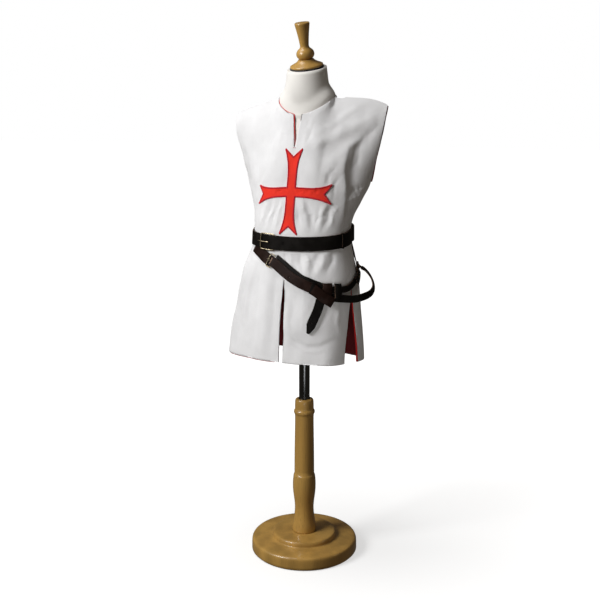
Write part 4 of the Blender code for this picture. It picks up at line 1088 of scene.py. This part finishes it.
def stitched_edge(name, places, normals, width, material):
    """A rounded band of satin stitch that follows a closed line."""
    count = len(places)
    along = np.roll(places, -1, axis=0) - np.roll(places, 1, axis=0)
    along /= np.linalg.norm(along, axis=1, keepdims=True)
    side = np.cross(along, normals)
    steps = np.linalg.norm(np.roll(places, -1, axis=0) - places, axis=1)
    lengths = np.concatenate(([0.0], np.cumsum(steps)))
    shape = bmesh.new()
    uv = shape.loops.layers.uv.new("stitch")
    rings = [
        [
            shape.verts.new(places[i] + side[i] * width * a + normals[i] * STITCH_HEIGHT * b)
            for a, b in STITCH_PROFILE
        ]
        for i in range(count)
    ]
    for i in range(count):
        j = (i + 1) % count
        for k in range(len(STITCH_PROFILE)):
            m = (k + 1) % len(STITCH_PROFILE)
            face = shape.faces.new((rings[i][k], rings[j][k], rings[j][m], rings[i][m]))
            for loop, (place, across) in zip(face.loops, ((i, k), (i + 1, k), (i + 1, m), (i, m))):
                loop[uv].uv = (lengths[place], across * 0.001)
    bmesh.ops.recalc_face_normals(shape, faces=shape.faces)
    return added_piece(shape, name, "red_applique", material)


class SURCOAT_OT_cross(bpy.types.Operator):
    """Make the applique cross and its satin-stitched edge"""

    bl_idname = "surcoat.cross"
    bl_label = "Cross Applique"

    def execute(self, context):
        cloth = context.scene.surcoat_cloth
        material = woven_cloth(
            "red wool cross", tuple(cloth.applique), cloth.thread_pitch, 0.3, 0.16, 0.06, 0.8
        )
        obj = cloth_piece("cross_wool", "cross_applique", 3)
        DRAPE.lay(obj)
        cloth_map(obj)
        self.press(obj)
        dress(obj, ["cross_applique"], "form", "red_applique", material)
        places, normals = boundary_loop(obj, Vector((0.0, -0.9, 0.3)).normalized())
        edge = stitched_edge(
            "cross_satin_stitch", places, normals, cloth.stitch_width,
            satin_stitch("crimson satin stitch", tuple(cloth.thread)),
        )
        self.bar_tack(tuple(cloth.thread))
        return {"FINISHED"}

    def press(self, obj):
        """Press the cross a set distance towards the cotton."""
        tree = object_tree(bpy.data.objects["surcoat_front_cotton"])
        for vert in obj.data.vertices:
            _, normal, _, _ = tree.find_nearest(vert.co)
            vert.co = vert.co - normal * CROSS_SINK
        obj.data.update()

    def bar_tack(self, colour):
        """A short bar of stitches that closes the bottom of the neck slit."""
        tree = object_tree(bpy.data.objects["surcoat_front_cotton"])
        places = []
        for step in range(TACK_STEPS):
            start = Vector((TACK_X + TACK_STEP * step, -0.5, TACK_Z))
            place = tree.ray_cast(start, Vector((0.0, 1.0, 0.0)))[0]
            places.append(place - Vector((0.0, 0.0002, 0.0)))
        pink = satin_stitch("faded red bar tack", tuple(0.3 + c * 0.6 for c in colour))
        line_piece("slit_bar_tack", cord_rings(places, TACK_RADIUS), "red_applique", pink)


def punch(obj, source):
    """Cut the strap's round holes, square to its face."""
    for hole in HOLES:
        if hole.source != source:
            continue
        tree = object_tree(obj)
        place, normal, _, _ = tree.find_nearest(Vector((hole.x, hole.y, hole.z)) * CM)
        turn = normal.to_track_quat("Z", "Y").to_matrix().to_4x4()
        shape = bmesh.new()
        bmesh.ops.create_cone(
            shape, cap_ends=True, segments=18, radius1=hole.radius * 0.001,
            radius2=hole.radius * 0.00115, depth=HOLE_DEPTH,
            matrix=Matrix.Translation(place - normal * 0.0012) @ turn,
        )
        cutter = finish_shape(shape, "cutter", 0)
        cut = obj.modifiers.new("hole", "BOOLEAN")
        cut.object, cut.operation, cut.solver = cutter, "DIFFERENCE", "EXACT"
        apply_modifiers(obj)
        bpy.data.objects.remove(cutter)


def strap_piece(name, source, faces, edges, levels=2):
    """A strap with softened arrises, its cut edges in their own leather, and its holes."""
    shape = welded(source)
    for face in shape.faces:
        if min(edge.calc_length() for edge in face.edges) < STRAP_EDGE:
            face.material_index = 1
    sharp = [
        edge for edge in shape.edges
        if len(edge.link_faces) == 2 and edge.calc_face_angle(0.0) > math.radians(55)
    ]
    bmesh.ops.bevel(
        shape, geom=sharp, offset=0.0004, offset_type="OFFSET", segments=2, profile=0.5,
        affect="EDGES", material=0, clamp_overlap=True,
    )
    obj = finish_shape(shape, name, levels)
    obj.data.set_sharp_from_angle(angle=math.radians(75))
    punch(obj, source)
    return dress(obj, [source], "form", "leather", faces, edges)


def skin_place(tree, bearing, height):
    """The point of the cloth at a bearing and a height."""
    angle = math.radians(bearing)
    out = Vector((math.sin(angle), -math.cos(angle), 0.0))
    start = Vector((0.0, STRAP_AXIS, height * CM)) + out * 0.6
    return tree.ray_cast(start, -out)[0]


def band_frames(tree, band):
    """Middle, direction across and direction out at each place along a band."""
    at = np.linspace(0.0, len(band.stops) - 1.0, 8 * len(band.stops))
    stops = np.array(band.stops)
    path = np.stack([np.interp(at, range(len(stops)), stops[:, k]) for k in range(3)], axis=1)
    for _ in range(3):
        path[1:-1] = path[1:-1] * 0.5 + (path[:-2] + path[2:]) * 0.25
    middles, outs = [], []
    for bearing, height, lift in path:
        place = skin_place(tree, bearing, height)
        around = skin_place(tree, bearing + 4, height) - skin_place(tree, bearing - 4, height)
        upward = skin_place(tree, bearing, height + 1.2) - skin_place(tree, bearing, height - 1.2)
        out = around.cross(upward).normalized()
        middles.append(place + out * lift * CM)
        outs.append(out)
    along = np.gradient(np.array(middles), axis=0)
    frames = []
    for middle, out, way in zip(middles, outs, along):
        way = Vector(way).normalized()
        across = out.cross(way).normalized()
        frames.append((middle, across, way.cross(across).normalized()))
    return frames


def add_band(shape, frames, width, thick):
    """A strap with softened edges, its cut edges marked by a second material."""
    half, thick, soft = width * CM / 2, thick * CM, 0.0005
    profile = (
        (-half + soft, 0.0), (half - soft, 0.0), (half, soft), (half, thick - soft),
        (half - soft, thick), (-half + soft, thick), (-half, thick - soft), (-half, soft),
    )
    faces = loft(shape, [
        [middle + across * a + out * b for a, b in profile] for middle, across, out in frames
    ])
    for number, face in enumerate(faces):
        cut = number % len(profile) in (2, 6) or number >= len(faces) - 2
        face.material_index = int(cut)


def band_piece(name, bands, tree, *materials):
    """Straps that belong together, as one piece."""
    shape = bmesh.new()
    for band in bands:
        add_band(shape, band_frames(tree, band), band.width, band.thick)
    obj = added_piece(shape, name, "leather", *materials)
    obj.data.set_sharp_from_angle(angle=math.radians(60))
    return obj


def round_piece(name, source, body, slot, material, levels=2, sharp=40.0):
    """A turned or round piece, with finer curves than its solid."""
    shape = welded(source)
    keep_edges(shape, sharp)
    return dress(finish_shape(shape, name, levels), [source], body, slot, material)


class SURCOAT_OT_belt(bpy.types.Operator):
    """Make the waist belt, its keeper and its buckle"""

    bl_idname = "surcoat.belt"
    bl_label = "Waist Belt"

    def execute(self, context):
        look = context.scene.surcoat_leather
        leather = strap_leather("black-brown belt leather", tuple(look.leather))
        edges = leather_edge("cut belt edge", tuple(look.cut_edge))
        brass = antique_brass("antique brass wire", tuple(look.brass))
        strap_piece("belt_strap", "waist_belt", leather, edges)
        strap_piece("belt_loop", "belt_keeper", leather, edges)
        round_piece("belt_buckle", "buckle_frame", "form", "brass", brass, 2, 80.0)
        round_piece("belt_prong", "buckle_prong", "form", "brass", brass)
        return {"FINISHED"}


class SURCOAT_OT_hanger(bpy.types.Operator):
    """Make the straps and fittings of the sword hanger"""

    bl_idname = "surcoat.hanger"
    bl_label = "Sword Hanger"

    def execute(self, context):
        look = context.scene.surcoat_leather
        dark = strap_leather("dark hanger leather", tuple(look.leather), 0.5)
        warm = strap_leather("red-brown hanger leather", tuple(look.red_brown), 0.42)
        edges = leather_edge("cut hanger edge", tuple(look.cut_edge))
        brass = antique_brass("hanger brass", tuple(look.brass))
        warm_straps = ("hanger_upper_strap", "hanger_front_strap")
        for source in STRAPS:
            if source == "hanger_knot":
                continue
            leather = warm if source in warm_straps else dark
            strap = strap_piece(f"{source}_leather", source, leather, edges)
            if source == "hanger_tail":
                self.point_tip(strap)
        tree = node_tree("surcoat_front_outer", "surcoat_back_outer")
        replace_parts(band_piece("hanger_knot_leather", KNOT, tree, warm, edges), "hanger_knot")
        for part, band in (("wrap", WRAP), ("loop_end", LOOP_END), ("under_end", UNDER_END)):
            band_piece(f"hanger_{part}_leather", [band], tree, dark, edges)
        round_piece("hanger_buckle_wire", "hanger_buckle", "form", "brass", brass, 2, 80.0)
        round_piece("hanger_prong_wire", "hanger_prong", "form", "brass", brass)
        round_piece("hanger_rivet_head", "hanger_rivet", "form", "brass", brass)
        return {"FINISHED"}

    def point_tip(self, strap):
        """Trim the low end of a strap to a blunt point."""
        points = mesh_points(strap.data)
        middle = points.mean(axis=0)
        along, across, _ = np.linalg.svd(points - middle, full_matrices=False)[2]
        along = along * np.sign(along[2])
        reach, side = (points - middle) @ along, (points - middle) @ across
        half = np.abs(side).max()
        taper = np.clip((reach - reach.min()) / TIP_LENGTH, 0.0, 1.0)
        allowed = half * (TIP_SHARE + (1.0 - TIP_SHARE) * taper)
        points += across * (np.clip(side, -allowed, allowed) - side)[:, None]
        put_points(strap, points)


class SURCOAT_OT_dress_form(bpy.types.Operator):
    """Make the jersey-covered torso and the turned neck cap"""

    bl_idname = "surcoat.dress_form"
    bl_label = "Dress Form"

    def execute(self, context):
        look = context.scene.surcoat_form
        wood = varnished_wood("varnished neck wood", tuple(look.wood))
        jersey = knitted_jersey("cream jersey", tuple(look.jersey))
        torso = round_piece("torso_jersey", "form_torso", "form", "jersey", jersey, 2, 60.0)
        self.fill_neck(torso)
        black = felt("black felt", (0.02, 0.018, 0.016))
        round_piece("neck_felt", "form_neck_spacer", "form", "dark_felt", black)
        round_piece("neck_cap_wood", "form_neck_cap", "form", "turned_wood", wood)
        round_piece("finial_wood", "form_finial", "form", "turned_wood", wood)
        return {"FINISHED"}

    def fill_neck(self, torso):
        """Bring the torso's neck and upper chest out to just behind the lining."""
        linings = [bpy.data.objects[f"surcoat_{panel}_red_lining"] for panel in ("front", "back")]
        trees = [object_tree(item) for item in linings]
        points, normals = mesh_points(torso.data), mesh_normals(torso.data)
        wanted = ease((points[:, 2] - 1.08) / 0.06) * ease((1.262 - points[:, 2]) / 0.018)
        room = np.full(len(points), np.nan)
        for i in np.flatnonzero(wanted > 0.0):
            start, way = Vector(points[i]), Vector(normals[i])
            hits = [tree.ray_cast(start, way, 0.06)[3] for tree in trees]
            hits = [hit for hit in hits if hit is not None]
            if hits:
                room[i] = min(JERSEY_REACH, max(0.0, min(hits) - JERSEY_CLEAR))
        known = np.flatnonzero(~np.isnan(room))
        x, y, z = points.T
        slit = (np.abs(x + 0.006) < 0.016) & (y < 0.0) & (z < 1.214)
        for i in np.flatnonzero(slit & np.isnan(room) & (wanted > 0.0)):
            near = np.linalg.norm(points[known] - points[i], axis=1) < 0.022
            room[i] = room[known[near]].mean() if near.any() else 0.0
        points += normals * (np.nan_to_num(room) * wanted)[:, None]
        self.flare_neck(points)
        put_points(torso, points)

    def flare_neck(self, points):
        """Widen the top of the jersey until it meets the neckline."""
        around = np.arctan2(points[:, 0], -(points[:, 1] - NECK_MIDDLE))
        front = np.cos(around) > 0.0
        deep = np.where(front, 0.057, 0.065)
        reach = 1.0 / np.hypot(np.sin(around) / NECK_SIDE, np.cos(around) / deep) - 0.0045
        rim = 1.258 + np.abs(np.cos(around)) ** 1.4 * np.where(front, -0.045, 0.010)
        radius = np.hypot(points[:, 0], points[:, 1] - NECK_MIDDLE)
        flare = ease(1.0 - (points[:, 2] - rim) / 0.036) * (points[:, 2] > rim - 0.012)
        grow = 1.0 + np.maximum(0.0, reach - radius) / radius * flare
        points[:, 0] *= grow
        points[:, 1] = NECK_MIDDLE + (points[:, 1] - NECK_MIDDLE) * grow


class SURCOAT_OT_stand(bpy.types.Operator):
    """Make the pole, the turned column and the base"""

    bl_idname = "surcoat.stand"
    bl_label = "Stand"

    def execute(self, context):
        look = context.scene.surcoat_form
        wood = varnished_wood("varnished stand wood", tuple(look.wood))
        steel = polished_steel("dark plated steel", tuple(look.steel))
        round_piece("pole_tube", "stand_pole", "pole", "steel", steel)
        round_piece("column_wood", "stand_column", "stand", "turned_wood", wood)
        round_piece("base_wood", "stand_base", "stand", "turned_wood", wood, 2, 35.0)
        return {"FINISHED"}


class SURCOAT_OT_stage(bpy.types.Operator):
    """Make the floor, the lights and the camera"""

    bl_idname = "surcoat.stage"
    bl_label = "Stage"

    def execute(self, context):
        stage = context.scene.surcoat_stage
        camera = bpy.data.objects.new("camera", bpy.data.cameras.new("camera"))
        camera.data.lens = stage.lens
        camera.data.sensor_width = 36.0
        camera.location = CAMERA_PLACE
        camera.rotation_euler = (math.radians(90.0 - CAMERA_DOWN), 0.0, math.radians(CAMERA_TURN))
        floor = self.floor()
        for lamp in LAMPS:
            self.light(lamp, stage.key_power)
        world = bpy.data.worlds.new("studio")
        world.use_nodes = True
        tree = world.node_tree
        seen = node(tree, "ShaderNodeBackground", {"Color": (1, 1, 1, 1), "Strength": 1.0})
        fill = node(
            tree, "ShaderNodeBackground",
            {"Color": (1.0, 0.86, 0.70, 1), "Strength": stage.fill_strength},
        )
        path = node(tree, "ShaderNodeLightPath")
        mix = node(
            tree, "ShaderNodeMixShader",
            {0: path.outputs["Is Camera Ray"], 1: fill.outputs[0], 2: seen.outputs[0]},
        )
        tree.links.new(mix.outputs[0], tree.nodes["World Output"].inputs["Surface"])
        context.scene.world = world
        context.scene.collection.objects.link(camera)
        context.scene.camera = camera
        context.scene.view_settings.view_transform = "Standard"
        return {"FINISHED"}

    def floor(self):
        """A wide pale floor."""
        mesh = bpy.data.meshes.new("floor")
        corners = [(-30, -30, 0), (30, -30, 0), (30, 30, 0), (-30, 30, 0)]
        mesh.from_pydata(corners, [], [(0, 1, 2, 3)])
        material, tree, place = start_material(
            "pale floor", 0.9, Specular_IOR_Level=0.0, Emission_Color=(1.0, 1.0, 1.0, 1.0)
        )
        tone = mixed(tree, noise(tree, place, 0.5), (0.50, 0.50, 0.50), (0.52, 0.52, 0.52))
        away = node(tree, "ShaderNodeVectorMath", {0: place}, operation="LENGTH").outputs["Value"]
        glow = spread(tree, away, 0.15, 1.3, 0.62, 1.0)
        mesh.materials.append(
            finish_material(material, Base_Color=tone, Emission_Strength=glow)
        )
        floor = bpy.data.objects.new("floor", mesh)
        floor.visible_diffuse = floor.visible_glossy = False
        bpy.context.scene.collection.objects.link(floor)
        return floor

    def light(self, lamp, power):
        """One soft square light that points at a target."""
        data = bpy.data.lights.new(lamp.name, "AREA")
        data.size, data.energy, data.spread = lamp.size, power * lamp.share, math.radians(lamp.beam)
        obj = bpy.data.objects.new(lamp.name, data)
        obj.location = lamp.place
        obj.rotation_mode = "QUATERNION"
        way = Vector(lamp.target) - Vector(lamp.place)
        obj.rotation_quaternion = way.to_track_quat("-Z", "Y")
        bpy.context.scene.collection.objects.link(obj)


class SURCOAT_PT_panel(bpy.types.Panel):
    """The surcoat's sizes, colours and pieces"""

    bl_idname = "SURCOAT_PT_panel"
    bl_label = "Surcoat"
    bl_space_type = "VIEW_3D"
    bl_region_type = "UI"
    bl_category = "Surcoat"

    def draw(self, context):
        layout = self.layout
        for group in GROUPS.values():
            box = layout.box()
            settings = getattr(context.scene, group.scene_name)
            for name in group.kind.__annotations__:
                box.prop(settings, name)
        for operator in OPERATORS:
            layout.operator(operator.bl_idname)


Group = namedtuple("Group", "scene_name kind")
GROUPS = {
    "cloth": Group("surcoat_cloth", SurcoatCloth),
    "leather": Group("surcoat_leather", SurcoatLeather),
    "form": Group("surcoat_form", SurcoatForm),
    "stage": Group("surcoat_stage", SurcoatStage),
}
OPERATORS = (
    SURCOAT_OT_outer_cloth, SURCOAT_OT_lining, SURCOAT_OT_cross, SURCOAT_OT_belt,
    SURCOAT_OT_hanger, SURCOAT_OT_dress_form, SURCOAT_OT_stand, SURCOAT_OT_stage,
)


def register():
    for group in GROUPS.values():
        bpy.utils.register_class(group.kind)
        setattr(bpy.types.Scene, group.scene_name, PointerProperty(type=group.kind))
    for item in (*OPERATORS, SURCOAT_PT_panel):
        bpy.utils.register_class(item)


def unregister():
    for item in reversed((*OPERATORS, SURCOAT_PT_panel)):
        bpy.utils.unregister_class(item)
    for group in GROUPS.values():
        delattr(bpy.types.Scene, group.scene_name)
        bpy.utils.unregister_class(group.kind)


def main():
    register()
    for operator in OPERATORS:
        group, name = operator.bl_idname.split(".")
        getattr(getattr(bpy.ops, group), name)()


if __name__ == "__main__":
    main()
